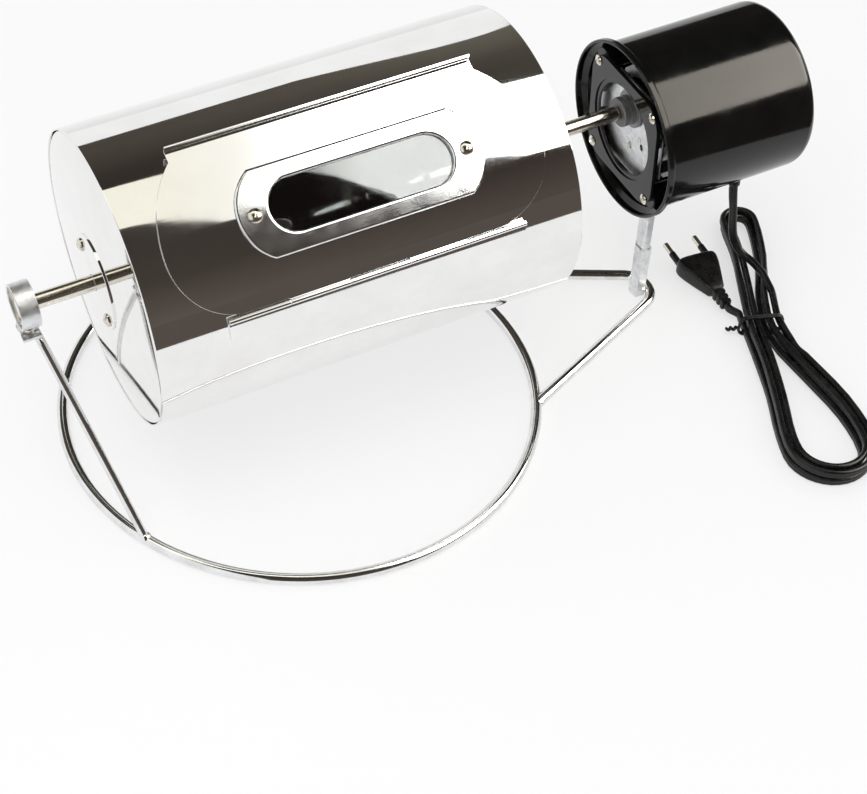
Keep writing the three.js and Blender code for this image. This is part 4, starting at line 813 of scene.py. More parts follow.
def hank_point(turn):
    """The flex enters on the upper layer, spirals in, climbs down in half a turn and spirals out below."""
    way_in = math.floor(HANK_LOOPS) / 2
    way_out = way_in + 1 / 2
    inner = min(turn, way_in, max(HANK_LOOPS - turn, 0) + (2 * way_in + 1 / 2 - HANK_LOOPS))
    down = min(max((turn - way_in) / (way_out - way_in), 0), 1)
    along, across = loop_place(START_PHASE + turn * LOOP_STEPS, inner * HANK_PITCH)
    sway = HANK_SWAY[0] * (1 - math.exp(-((along / HANK_SWAY[1]) ** 2)))
    lift = HANK_LIFT[0] * math.exp(-((along / HANK_LIFT[1]) ** 2))
    base = Vector((*HANK_WAIST, HANK_REST + (1 - down) * HANK_LAYER + lift))
    return base + HANK_ALONG * along + HANK_ACROSS * (across + sway)


def curve_through(points, steps):
    """A smooth line through points, even where they are unevenly spaced."""
    ends = [2 * points[0] - points[1], *points, 2 * points[-1] - points[-2]]
    out = []
    for a, b, c, d in zip(ends, ends[1:], ends[2:], ends[3:]):
        knots = [0.0]
        for first, second in ((a, b), (b, c), (c, d)):
            knots.append(knots[-1] + math.sqrt((second - first).length))
        t0, t1, t2, t3 = knots
        for step in range(steps):
            t = t1 + (t2 - t1) * step / steps
            ab = a.lerp(b, (t - t0) / (t1 - t0))
            bc = b.lerp(c, (t - t1) / (t2 - t1))
            cd = c.lerp(d, (t - t2) / (t3 - t2))
            abc = ab.lerp(bc, (t - t0) / (t2 - t0))
            bcd = bc.lerp(cd, (t - t1) / (t3 - t1))
            out.append(abc.lerp(bcd, (t - t1) / (t2 - t1)))
    out.append(points[-1].copy())
    return out


RELIEF_TOP_PLACE = DRIVE @ Vector((RELIEF_X, 0, -MOTOR_DROP - COVER_RADIUS))
RELIEF_END = DRIVE @ Vector((RELIEF_X, 0, -MOTOR_DROP - COVER_RADIUS - RELIEF_LENGTH))
PLUG_HEADING = (PLUG_NOSE - PLUG_TAIL).normalized()
CORD_HOLD = 3  # how far the flex runs on inside the plug


def flex_path():
    hank_steps = round(HANK_LOOPS * LOOP_STEPS)
    hank = [hank_point(HANK_LOOPS * step / hank_steps) for step in range(hank_steps + 1)]
    downwards = (RELIEF_END - RELIEF_TOP_PLACE).normalized()
    straight = CORD_THICKNESS
    lead = [RELIEF_END, RELIEF_END + downwards * straight, *map(Vector, LEAD_ROUTE)]
    lead.append(hank[0] + (hank[0] - hank[1]).normalized() * straight)
    tail = [hank[-1] + (hank[-1] - hank[-2]).normalized() * straight]
    tail += [PLUG_TAIL - PLUG_HEADING * straight, PLUG_TAIL, PLUG_TAIL + PLUG_HEADING * CORD_HOLD]
    return curve_through([*lead, *hank, *tail], FINER)


def flex_section(steps=20):
    """Two round cores side by side, one above the other, with a shallow groove between them."""
    core = CORD_THICKNESS / 2
    offset = (CORD_WIDTH - CORD_THICKNESS) / 2
    out = []
    for step in range(steps):
        angle = 2 * math.pi * step / steps
        across, upright = math.cos(angle), math.sin(angle)
        reach = offset * abs(upright) + math.sqrt(core**2 - (offset * across) ** 2)
        out.append((reach * across, reach * upright))
    return out


def level_sides(path, passes=12):
    """Sideways directions that keep the flex upright, evened out where it turns down."""
    headings = tangents(path)
    sides = [heading.cross(Z).normalized() for heading in headings]
    for _ in range(passes):
        padded = [sides[0], *sides, sides[-1]]
        sides = [(a + 2 * b + c).normalized() for a, b, c in zip(padded, padded[1:], padded[2:])]
    return [(side - heading * side.dot(heading)).normalized() for side, heading in zip(sides, headings)]


def plug_ring(along, half_width, half_height, roundness=0.42, steps=40):
    side = PLUG_HEADING.cross(Z).normalized()
    up = side.cross(PLUG_HEADING)
    out = []
    for step in range(steps):
        angle = 2 * math.pi * step / steps
        c, s = math.cos(angle), math.sin(angle)
        across = math.copysign(abs(c) ** roundness, c) * half_width
        upright = math.copysign(abs(s) ** roundness, s) * half_height
        out.append(PLUG_TAIL + PLUG_HEADING * along + side * across + up * upright)
    return out


PLUG_LENGTH = (PLUG_NOSE - PLUG_TAIL).length
PLUG_SHAPE = [  # along, half width, half height, in shares of the plug's length, width and thickness
    (0.0, 0.2, 0.42), (0.01, 0.25, 0.5), (0.05, 0.26, 0.52), (0.06, 0.21, 0.44), (0.1, 0.21, 0.44),
    (0.11, 0.27, 0.53), (0.15, 0.28, 0.54), (0.16, 0.22, 0.46), (0.2, 0.23, 0.46), (0.21, 0.29, 0.56),
    (0.25, 0.3, 0.57), (0.26, 0.24, 0.48), (0.3, 0.26, 0.5), (0.33, 0.4, 0.62), (0.42, 0.5, 0.7),
    (0.54, 0.64, 0.8), (0.66, 0.77, 0.89), (0.78, 0.9, 0.96), (0.88, 0.98, 1.0), (0.94, 1.0, 1.0),
    (0.98, 0.98, 0.97), (1.0, 0.92, 0.88),
]


def plug_frame():
    """X along the pins, from the middle of the plug's face."""
    side = PLUG_HEADING.cross(Z).normalized()
    turn = Matrix((PLUG_HEADING, side, side.cross(PLUG_HEADING) * -1)).transposed().to_4x4()
    return Matrix.Translation(PLUG_NOSE) @ turn


def make_plug():
    rings = [plug_ring(a * PLUG_LENGTH, w * PLUG_HALF[0], h * PLUG_HALF[1]) for a, w, h in PLUG_SHAPE]
    radius, length = PIN
    sleeves, tips = [], []
    for side in (-1, 1):
        sleeve = lathe([(-1, 0), (-1, radius), (PIN_SLEEVE, radius, FINE_EDGE), (PIN_SLEEVE, 0)], 32)
        tip = lathe([(0, 0), (0, radius - FINE_EDGE), (length, radius - FINE_EDGE, radius * 0.7), (length, 0)], 32)
        sleeves.append(at(sleeve, y=side * PIN_SPACING / 2))
        tips.append(at(tip, y=side * PIN_SPACING / 2))
    body = add("plug", joined(loft(rings), moved(joined(*sleeves), plug_frame())), "cord_black", "stand", ["plug_body"])
    pins = add("plug_pins", moved(joined(*tips), plug_frame()), "turned_steel", "stand")
    return body, pins


def tie_wire():
    """Two turns of thin wire round the waist of the hank, its ends twisted together at the left."""
    base = Vector((*HANK_WAIST, 0))
    low, high = HANK_REST + HANK_LIFT[0] - CORD_WIDTH / 2 - 1, HANK_REST + HANK_LIFT[0] + HANK_LAYER + CORD_WIDTH / 2 + 1
    half = WAIST_HALF + CORD_THICKNESS / 2 + 1.6
    middle = (low + high) / 2
    outline = filleted(
        [(sx * half, sz * (high - low) / 2, 4) for sx, sz in ((-1, 1), (1, 1), (1, -1), (-1, -1))], steps=6,
    )
    points = []
    turns = 2
    for index in range(turns * len(outline)):
        across, up = outline[index % len(outline)]
        shift = (index / len(outline) - turns / 2) * 2 * TIE_WIRE
        points.append(base + HANK_ACROSS * across + HANK_ALONG * shift + Z * (middle + up))
    twist = []
    for step in range(TWIST_STEPS):
        angle = step * 0.9
        out = points[-1] - HANK_ACROSS * (1 + step * 0.42)
        twist.append(out + HANK_ALONG * math.cos(angle) * TIE_WIRE * 0.8 + Z * math.sin(angle) * TIE_WIRE * 0.8)
    strand = sweep(curve_through(points + twist, 2), circle(TIE_WIRE, 10))
    other = sweep(curve_through([p - HANK_ALONG * TIE_WIRE for p in twist], 2), circle(TIE_WIRE, 10))
    return joined(strand, other)


def strain_relief():
    """Tapered sleeve with ribs, its collar against the cover."""
    ribs = 6
    profile = [(-4.2, 0), (-4.2, 4.5, 0.4), (0, 4.5), (0, RELIEF_TOP, 0.4), (RELIEF_COLLAR, RELIEF_TOP, 0.5)]
    first = RELIEF_COLLAR + 0.4
    pitch = (RELIEF_LENGTH - first) / ribs
    for rib in range(ribs):
        start = first + rib * pitch
        radius = RELIEF_TOP - 0.8 + (RELIEF_BOTTOM - RELIEF_TOP + 0.8) * (rib + 1) / ribs
        profile += [(start, radius - 0.5), (start + pitch * 0.3, radius - 0.5), (start + pitch * 0.3, radius, 0.25)]
        profile += [(start + pitch * 0.95, radius, 0.25)]
    profile += [(RELIEF_LENGTH, RELIEF_BOTTOM - 0.5), (RELIEF_LENGTH, 0)]
    turn = Matrix.Translation((RELIEF_X, 0, -MOTOR_DROP - COVER_RADIUS)) @ Matrix.Rotation(math.pi / 2, 4, "Y")
    return moved(lathe(profile, 40), turn)


PATH = flex_path()
flex = add("flex", sweep(PATH, flex_section(), level_sides(PATH)), "cord_black", "stand", ["cord_lead", "cord_hank", "cord_tail"])
plug, plug_pins = make_plug()
tie = add("hank_tie", tie_wire(), "cord_black", "stand", ["cord_tie"])
add("cord_relief", strain_relief(), "cord_black", "stand", ["strain_relief"], ON_DRIVE)

# Stand


def base_ring():
    bm = bmesh.new()
    ring = bmesh.ops.create_circle(bm, segments=32, radius=BASE_WIRE)
    bmesh.ops.rotate(bm, matrix=Matrix.Rotation(math.pi / 2, 3, "X"), verts=ring["verts"])
    bmesh.ops.translate(bm, vec=(RING_RADIUS, 0, BASE_WIRE), verts=ring["verts"])
    bmesh.ops.spin(
        bm, geom=bm.verts[:] + bm.edges[:], cent=(0, 0, 0), axis=Z, angle=2 * math.pi, steps=256, use_merge=True,
    )
    bmesh.ops.recalc_face_normals(bm, faces=bm.faces)
    return at(shaded(bm), RING_X)


def hairpin(half_spread, reach, bend, steps=24):
    """(across, along) points of two straight legs and the round bend between them."""
    centre = reach - bend
    foot_direction = math.atan2(-centre, half_spread)
    first = foot_direction + math.acos(bend / math.hypot(half_spread, centre))
    points = [(half_spread, 0)]
    points += arc(0, centre, bend, first, math.pi - first, steps)
    return [*points, (-half_spread, 0)]


def ring_foot(half_spread):
    return math.sqrt(RING_RADIUS**2 - half_spread**2)


def weld(place, size):
    """A low bead round a joint of two wires."""
    bm = bmesh.new()
    bmesh.ops.create_icosphere(bm, subdivisions=3, radius=1)
    bmesh.ops.scale(bm, vec=size, verts=bm.verts)
    return at(shaded(bm), *place)


def base_fork():
    foot_x = RING_X + ring_foot(FORK_FOOT)
    path = [Vector((foot_x + along, across, BASE_WIRE)) for across, along in hairpin(FORK_FOOT, FORK_TIP_X - foot_x, FORK_BEND)]
    beads = [weld((foot_x + 2, side * FORK_FOOT * 0.98, BASE_WIRE), (3.9, 3.6, 3)) for side in (-1, 1)]
    return joined(sweep(path, circle(BASE_WIRE)), *beads)


def leg_hairpin():
    foot = Vector((RING_X - ring_foot(LEG_FOOT), 0, BASE_WIRE))
    top = DRIVE @ Vector((BEARING_X + LEG_TOP_INSET, 0, FOOT_BOTTOM))
    rise = top - foot
    lean = math.atan2(-rise.x, rise.z)
    reach = rise.length - LEG_WIRE / math.cos(lean)
    along = rise.normalized()
    path = [foot + along * up + Y * across for across, up in hairpin(LEG_FOOT, reach, LEG_BEND)]
    beads = [weld((foot.x, side * LEG_FOOT, BASE_WIRE + 0.6), (3.4, 3.6, 3.3)) for side in (-1, 1)]
    return joined(sweep(path, circle(LEG_WIRE)), *beads)


def upright_part(depth, low, high):
    """Channel of folded sheet, its open side towards +X."""
    front = UPRIGHT_BACK_X - UPRIGHT_DEPTH
    back, half, inside = front + depth, UPRIGHT_HALF, UPRIGHT_HALF - UPRIGHT_WALL
    outline = filleted([
        (back, -half, FINE_EDGE), (back, -inside, FINE_EDGE), (front + UPRIGHT_WALL, -inside, 0.4),
        (front + UPRIGHT_WALL, inside, 0.4), (back, inside, FINE_EDGE), (back, half, FINE_EDGE),
        (front, half, UPRIGHT_BEND), (front, -half, UPRIGHT_BEND),
    ])
    return slab([outline], low, high)


def motor_upright():
    height, step = UPRIGHT_STEP
    return joined(
        upright_part(UPRIGHT_DEPTH, UPRIGHT_LIFT, height),
        upright_part(UPRIGHT_DEPTH - step, height - step, UPRIGHT_TOP),
        weld((FORK_TIP_X - 5.6, -3.4, BASE_WIRE + 1.5), (2.6, 1.8, 1.9)),
        weld((FORK_TIP_X - 5.6, 3.4, BASE_WIRE + 1.5), (2.6, 1.8, 1.9)),
    )


add("ring", base_ring(), "wire_chrome", "stand", ["base_ring"])
add("fork", base_fork(), "wire_chrome", "stand", ["base_fork"])
add("leg", leg_hairpin(), "wire_chrome", "stand", ["leg_hairpin"])
add("upright", motor_upright(), "zinc_sheet", "stand", ["motor_upright"])

# Drum

PLATE_RADIUS = DRUM_RADIUS - SHEET - HOLE_GAP
PLATE_RIM_X = DRUM_HALF - RIM_INSET
SHAFT_HOLE = SHAFT_RADIUS + HOLE_GAP
BODY_BORE = DRUM_RADIUS - SHEET


def dome_x(radius):
    return PLATE_RIM_X + DOME_RISE * (1 - (radius / PLATE_RADIUS) ** 2)


def outwards(angle):
    """Away from the drum's axis, at an angle from -Y up towards +Z."""
    return Vector((0, -math.cos(angle), math.sin(angle)))


def upwards(angle):
    """Along the drum's surface at that angle."""
    return Vector((0, math.sin(angle), math.cos(angle)))


def facing_out(angle):
    return Matrix((X, upwards(angle), outwards(angle))).transposed().to_4x4()


def on_wall(inner, radius=DRUM_RADIUS):
    """Lays a sheet drawn unrolled, (x, s, h), on the drum at the door's angle, h above the radius inner."""
    def bend(co):
        angle = DOOR_ANGLE + co.y / radius
        place = X * co.x + outwards(DOOR_ANGLE) * (inner - radius) + outwards(angle) * (radius + co.z)
        return place, (X, upwards(angle), outwards(angle))
    return bend


def rows_between(low, high, pitch=ROW_PITCH):
    count = math.ceil((high - low) / pitch)
    return [low + (high - low) * (step + 0.5) / count for step in range(count)]


def drum_shell():
    tube = lathe([
        (-DRUM_HALF, BODY_BORE), (-DRUM_HALF, DRUM_RADIUS, 0.3), (DRUM_HALF, DRUM_RADIUS, 0.3), (DRUM_HALF, BODY_BORE),
    ], DRUM_STEPS, shade=False)
    outline = [
        (x, DRUM_RADIUS * math.sin(s / DRUM_RADIUS)) for x, s in rounded_rectangle(*OPENING_HALF, OPENING_CORNER)
    ]
    window = moved(slab([outline], DRUM_RADIUS / 2, DRUM_RADIUS * 1.1), facing_out(DOOR_ANGLE))
    return shaded(carved(tube, window), radial=True)


def end_plate():
    steps = 28
    radii = [SHAFT_HOLE + (PLATE_RADIUS - SHAFT_HOLE) * step / steps for step in range(steps + 1)]
    outer = [(dome_x(radius), radius) for radius in radii]
    outer[-1] = (*outer[-1], SKIRT_EDGE)
    inner = [(dome_x(radius) - SHEET, radius) for radius in radii[:-1]]
    inner.append((PLATE_RIM_X - SHEET, PLATE_RADIUS - SHEET))
    skirt = [(PLATE_RIM_X - SKIRT, PLATE_RADIUS), (PLATE_RIM_X - SKIRT, PLATE_RADIUS - SHEET)]
    return lathe([*outer, *skirt, *inner[::-1]], 192)


FLANGE_X = dome_x(0) + HOLE_GAP / 2


def flange_face(radius):
    """Where the outer face of the flange, slightly conical like the plate, is along X."""
    share = (radius - SHAFT_HOLE) / (FLANGE_RADIUS - SHAFT_HOLE)
    middle, rim = FLANGE_X + FLANGE_THICKNESS, dome_x(FLANGE_RADIUS) + FLANGE_RIM
    return middle + (rim - middle) * share


def flange():
    return lathe([
        (FLANGE_X, SHAFT_HOLE), (dome_x(FLANGE_RADIUS), FLANGE_RADIUS),
        (flange_face(FLANGE_RADIUS), FLANGE_RADIUS, 0.35), (flange_face(SHAFT_HOLE), SHAFT_HOLE, 0.3),
    ], 128)


def flange_screws():
    places = [upwards(DOOR_ANGLE) * side * FLANGE_SCREW_REACH for side in (-1, 1)]
    seat = flange_face(FLANGE_SCREW_REACH)
    return [at(screw(*SCREW_HEAD, SCREW_SHANK, seat - PLATE_RIM_X), seat, place.y, place.z) for place in places]


HEAD_X = dome_x(SHAFT_HEAD[0]) - SHEET - HOLE_GAP


def shaft(end_x):
    radius, thickness = SHAFT_HEAD
    return lathe([
        (HEAD_X - thickness, 0), (HEAD_X - thickness, radius, 0.4), (HEAD_X, radius, 0.4), (HEAD_X, SHAFT_RADIUS),
        (end_x, SHAFT_RADIUS, 0.7), (end_x, 0),
    ], 64)


def set_screw():
    radius, rise = SET_SCREW
    top = SHAFT_RADIUS + rise
    socket = lathe([
        (1, 0), (1, radius), (top, radius, 0.3), (top, radius * 0.5), (top - 1.2, radius * 0.5), (top - 1.2, 0),
    ], 24)
    return moved(socket, Matrix.Translation((SET_SCREW_X, 0, 0)) @ Matrix.Rotation(-math.pi / 2, 4, "Y"))


add("shell", drum_shell(), "mirror_steel", "drum", ["drum_shell"], ON_DRIVE)
add("end_plate_right", end_plate(), "mirror_steel", "drum", ["right_end_plate"], ON_DRIVE)
add("end_plate_left", mirrored(end_plate()), "mirror_steel", "drum", ["left_end_plate"], ON_DRIVE)
add("flange_right", flange(), "mirror_steel", "drum", ["right_flange"], ON_DRIVE)
add("flange_left", mirrored(flange()), "mirror_steel", "drum", ["left_flange"], ON_DRIVE)
for number, made in enumerate(flange_screws(), 1):
    add(f"flange_screw_right_{number}", made, "turned_steel", "drum", [f"right_flange_screw_{number}"], ON_DRIVE)
for number, made in enumerate(flange_screws(), 1):
    add(f"flange_screw_left_{number}", mirrored(made), "turned_steel", "drum", [f"left_flange_screw_{number}"], ON_DRIVE)
add("shaft_left", mirrored(shaft(-BEARING_X + BAND_HALF - SHEET)), "turned_steel", "drum", ["left_shaft"], ON_DRIVE)
add("shaft_right", shaft(SHAFT_END_X), "turned_steel", "drum", ["right_shaft"], ON_DRIVE)
add("set_screw", set_screw(), "black_steel", "drum", ["shaft_set_screw"], ON_DRIVE)

# Door

DOOR_INNER = DRUM_RADIUS + HOLE_GAP
DOOR_OUTER = DOOR_INNER + SHEET
HINGE_S = (HINGE_ANGLE - DOOR_ANGLE) * DRUM_RADIUS
HINGE_AXIS = outwards(HINGE_ANGLE) * HINGE_REACH
HINGE_START = HINGE_SHIFT - HINGE_LENGTH / 2
DOOR_BOTTOM_S = HINGE_S + LEAF_SETBACK
FOLD_S = DOOR_TOP_S - SHEET - LIP_BEND
FOLD_REACH = LIP_BEND + SHEET / 2


def knuckle_span(index):
    start = HINGE_START + index * HINGE_LENGTH / KNUCKLES
    return start + KNUCKLE_GAP / 2, start + HINGE_LENGTH / KNUCKLES - KNUCKLE_GAP / 2


def barrels(indices):
    out = []
    for low, high in map(knuckle_span, indices):
        barrel = lathe([
            (low, KNUCKLE_BORE), (low, KNUCKLE_RADIUS, FINE_EDGE), (high, KNUCKLE_RADIUS, FINE_EDGE), (high, KNUCKLE_BORE),
        ], 32)
        out.append(at(barrel, y=HINGE_AXIS.y, z=HINGE_AXIS.z))
    return out


def tabs(indices, edge_s):
    """Corners of the tabs that run from a sheet's edge to the hinge, in the order of x."""
    return [
        (x, s)
        for low, high in map(knuckle_span, indices)
        for x, s in ((low, edge_s), (low, HINGE_S), (high, HINGE_S), (high, edge_s))
    ]


def door_outline():
    upper_x, lower_x = DOOR_HALF - UPPER_CORNER, DOOR_HALF - LOWER_CORNER
    lip_corner = math.sqrt(UPPER_CORNER**2 - (LIP_HALF - upper_x) ** 2)
    upper = math.asin(lip_corner / UPPER_CORNER)
    lower = math.asin((DOOR_WIDE_S - DOOR_BOTTOM_S) / LOWER_CORNER)
    top = FOLD_S + FOLD_REACH * LIP_TURN + LIP_HEIGHT - SHEET - LIP_BEND
    right = arc(lower_x, DOOR_WIDE_S, LOWER_CORNER, -lower, 0, 20)[:-1]
    right += arc(upper_x, DOOR_WIDE_S, UPPER_CORNER, 0, upper, 24)
    left = [(-x, s) for x, s in reversed(right)]
    return [*right, (LIP_HALF, top), (-LIP_HALF, top), *left, *tabs((1, 3), DOOR_BOTTOM_S)]


def door_bend(co):
    """Round the drum, then flat as far as the fold; there the sheet turns outwards into the lip."""
    if co.y <= DOOR_FLAT_S:
        return on_wall(DOOR_INNER)(co)
    angle = DOOR_ANGLE + DOOR_FLAT_S / DRUM_RADIUS
    along, out = upwards(angle), outwards(angle)
    flat = min(co.y, FOLD_S) - DOOR_FLAT_S
    turn = min(max((co.y - FOLD_S) / FOLD_REACH, 0), LIP_TURN)
    rest = max(co.y - FOLD_S - FOLD_REACH * LIP_TURN, 0)
    radius = SHEET + LIP_BEND - co.z
    ahead = along * math.cos(turn) + out * math.sin(turn)
    place = X * co.x + outwards(DOOR_ANGLE) * (DOOR_INNER - DRUM_RADIUS) + along * (flat + math.sin(turn) * radius)
    place += out * (DRUM_RADIUS + SHEET + LIP_BEND - math.cos(turn) * radius) + ahead * rest
    return place, (X, ahead, out * math.cos(turn) - along * math.sin(turn))


def stadium(radius):
    right = arc(WINDOW_SHIFT + WINDOW_HALF, 0, radius, -math.pi / 2, math.pi / 2, 32)
    left = arc(WINDOW_SHIFT - WINDOW_HALF, 0, radius, math.pi / 2, 3 * math.pi / 2, 32)
    return right + left


def door_panel():
    hole = stadium(WINDOW_RADIUS + GLASS_MARGIN + HOLE_GAP)
    fold = [FOLD_S + FOLD_REACH * LIP_TURN * step / 6 for step in range(7)]
    flat = slab([door_outline(), hole], 0, SHEET, FINE_EDGE, [*rows_between(DOOR_BOTTOM_S, DOOR_FLAT_S), DOOR_FLAT_S, *fold])
    return joined(bent(flat, door_bend), *barrels((1, 3)))


def hinge_leaf():
    top, end = HINGE_S - LEAF_SETBACK, HINGE_START + HINGE_LENGTH
    outline = [(HINGE_START, top), *tabs((0, 2, 4), top), (end, top), (end, top - LEAF_HEIGHT), (HINGE_START, top - LEAF_HEIGHT)]
    spots = [outline[i] for i in range(len(outline)) if outline[i] != outline[i - 1]]
    flat = slab([spots], 0, SHEET, FINE_EDGE, rows_between(top - LEAF_HEIGHT, HINGE_S))
    return joined(bent(flat, on_wall(DOOR_INNER)), *barrels((0, 2, 4)))


def frame_outline():
    radius = (FRAME_HALF_HEIGHT**2 + FRAME_BULGE**2) / (2 * FRAME_BULGE)
    spread = math.asin(FRAME_HALF_HEIGHT / radius)
    middle = FRAME_HALF + FRAME_BULGE - radius
    right = arc(WINDOW_SHIFT + middle, 0, radius, -spread, spread, 40)
    return right + arc(WINDOW_SHIFT - middle, 0, radius, math.pi - spread, math.pi + spread, 40)


def window_frame():
    rows = rows_between(-FRAME_HALF_HEIGHT, FRAME_HALF_HEIGHT)
    flat = slab([frame_outline(), stadium(WINDOW_RADIUS)], -FRAME_SUNK, FRAME_THICKNESS, FRAME_EDGE, rows)
    return bent(flat, on_wall(DOOR_OUTER, FRAME_BEND))


def back_frame():
    rows = rows_between(-BACK_FRAME_HALF[1], BACK_FRAME_HALF[1])
    outline = rounded_rectangle(*BACK_FRAME_HALF, OPENING_CORNER)
    flat = slab([outline, stadium(WINDOW_RADIUS)], 0, SHEET, FINE_EDGE, rows)
    return bent(flat, on_wall(DOOR_INNER - HOLE_GAP - SHEET))


def window_pane():
    return moved(slab([stadium(WINDOW_RADIUS + GLASS_MARGIN)], *GLASS_SPAN), facing_out(DOOR_ANGLE))


def window_screws():
    seat = DOOR_OUTER + FRAME_THICKNESS
    turn = Matrix((outwards(DOOR_ANGLE), X, upwards(DOOR_ANGLE))).transposed().to_4x4()
    out = []
    for side in (-1, 1):
        made = at(screw(*SCREW_HEAD, SCREW_SHANK, 5), seat)
        out.append(at(moved(made, turn), WINDOW_SHIFT + side * WINDOW_SCREW_REACH))
    return out


add("panel", door_panel(), "mirror_steel", "door", ["door_panel"], ON_DRIVE)
add("frame_of_window", window_frame(), "wire_chrome", "door", ["window_frame"], ON_DRIVE)
add("back_frame_of_window", back_frame(), "mirror_steel", "door", ["window_back_frame"], ON_DRIVE)
add("pane", window_pane(), "window_glass", "door", ["window_glass"], ON_DRIVE)
for number, made in enumerate(window_screws(), 1):
    add(f"screw_of_window_{number}", made, "turned_steel", "door", [f"window_screw_{number}"], ON_DRIVE)
add("leaf_of_hinge", hinge_leaf(), "mirror_steel", "drum", ["hinge_leaf"], ON_DRIVE)
pin = lathe([(HINGE_START, 0), (HINGE_START, PIN_RADIUS, FINE_EDGE), (HINGE_START + HINGE_LENGTH, PIN_RADIUS, FINE_EDGE), (HINGE_START + HINGE_LENGTH, 0)], 24)
add("pin_of_hinge", at(pin, y=HINGE_AXIS.y, z=HINGE_AXIS.z), "turned_steel", "drum", ["hinge_pin"], ON_DRIVE)

# Bearing


def race(outer, inner, groove):
    """A ring of the bearing with chamfers."""
    low, high = BEARING_X - BEARING_HALF, BEARING_X + BEARING_HALF
    return lathe([(low, inner, 0.3), (low, outer, 0.4), (high, outer, 0.4), (high, inner, 0.3)], 72)


def outer_race():
    shields = []
    for side in (-1, 1):
        x = BEARING_X + side * (BEARING_HALF - SHIELD_INSET)
        low, high = sorted((x, x - side * 0.3))
        shields.append(lathe([(low, INNER_RACE[0] + 0.25), (low, OUTER_RACE[1] + 0.2), (high, OUTER_RACE[1] + 0.2), (high, INNER_RACE[0] + 0.25)], 72))
    return joined(race(*OUTER_RACE, 0), *shields)


def offset_line(points, distance):
    """A line drawn beside another, to its left."""
    out = []
    for index, point in enumerate(points):
        before = points[max(index - 1, 0)]
        after = points[min(index + 1, len(points) - 1)]
        way = (Vector(after) - Vector(before)).normalized()
        out.append((point[0] - way.y * distance, point[1] + way.x * distance))
    return out


def bearing_band():
    """One strip: foot, ear, round the bearing, ear, foot."""
    drop = math.sqrt(BAND_RADIUS**2 - EAR_Y**2)
    foot_z = FOOT_BOTTOM + BAND_THICKNESS / 2
    start = math.atan2(-drop, -EAR_Y)
    ring = arc(0, 0, BAND_RADIUS, start, start - 2 * math.pi + 2 * math.asin(EAR_Y / BAND_RADIUS), 72)
    left = filleted([(-FOOT_Y, foot_z), (-EAR_Y, foot_z, BAND_BEND), (-EAR_Y, -drop)], closed=False, steps=6)
    right = [(-y, z) for y, z in reversed(left)]
    line = left[:-1] + ring + right[1:]
    half = BAND_THICKNESS / 2
    outline = offset_line(line, half) + offset_line(line, -half)[::-1]
    return moved(slab([outline], BEARING_X - BAND_HALF, BEARING_X + BAND_HALF, 0.3), ACROSS)


def band_screw():
    turn = Matrix((-Y, X, Z)).transposed().to_4x4()
    head = at(screw(2.4, 1.3, 1.2, 6.2, 32), EAR_Y + BAND_THICKNESS / 2)
    nut = lathe([(-5, 1.1), (-5, 2.5, 0.2), (-3.2, 2.5, 0.2), (-3.2, 1.1)], 6)
    return at(moved(joined(head, nut), turn), BEARING_X, 0, BAND_SCREW_Z)


add("band", bearing_band(), "zinc_sheet", "stand", ["bearing_band"], ON_DRIVE)
add("screw_of_band", band_screw(), "turned_steel", "stand", ["band_screw"], ON_DRIVE)
add("race_outer", outer_race(), "turned_steel", "stand", ["bearing_outer_race"], ON_DRIVE)
add("race_inner", race(*INNER_RACE, 0), "turned_steel", "drum", ["bearing_inner_race"], ON_DRIVE)

# Motor

CORNERS = [(-1, -1), (-1, 1), (1, -1), (1, 1)]


def cover():
    front, back = COVER_X
    lip_radius, lip_width, slope = COVER_LIP
    bore, neck = COVER_RADIUS - COVER_WALL, front + lip_width
    cup = lathe([
        (back, 0), (back, COVER_RADIUS, COVER_CORNER), (neck + slope, COVER_RADIUS, 0.8), (neck, lip_radius, 0.7),
        (front, lip_radius, 0.9), (front, lip_radius - COVER_WALL, 0.6), (neck, lip_radius - COVER_WALL, 0.3),
        (neck + slope, bore, 0.4), (back - COVER_WALL, bore, COVER_CORNER - COVER_WALL), (back - COVER_WALL, 0),
    ], 160, radial=True)
    radius, bore, length = BOSS
    start = ADAPTER_X[1] + HOLE_GAP
    bosses = [
        at(lathe([(start, bore), (start, radius, 0.3), (start + length, radius), (start + length, bore)], 40), 0, y * ADAPTER_SCREW_REACH, z * ADAPTER_SCREW_REACH)
        for y, z in CORNERS
    ]
    return at(joined(cup, *bosses), z=-MOTOR_DROP)


def adapter():
    """Square plate with a stepped round hole."""
    front, back = ADAPTER_X
    outline = rounded_rectangle(ADAPTER_HALF, ADAPTER_HALF, ADAPTER_CORNER)
    hole, step = ADAPTER_HOLE
    plates = [
        slab([outline, circle(step, 96)], front, front + 1, FINE_EDGE),
        slab([outline, circle(hole, 96)], front + 0.8, back, FINE_EDGE),
    ]
    return at(moved(joined(*plates), ACROSS), z=-MOTOR_DROP)


def gear_plate():
    half_y, half_z = GEAR_PLATE_HALF
    cut_y, cut_z = GEAR_PLATE_CUT - half_z, GEAR_PLATE_CUT - half_y
    corners = [(half_y, cut_z), (cut_y, half_z), (-cut_y, half_z), (-half_y, cut_z)]
    outline = filleted([(y, z, 1.5) for y, z in corners + [(-y, -z) for y, z in corners]])
    slots = [[(y + 1.5 * c, z + 2.1 * s) for c, s in circle(1, 20)] for y, z in ((-1, -11.6), (-12, -5.6))]
    return at(moved(slab([outline, *slots], *GEAR_PLATE_X), ACROSS), z=-MOTOR_DROP)


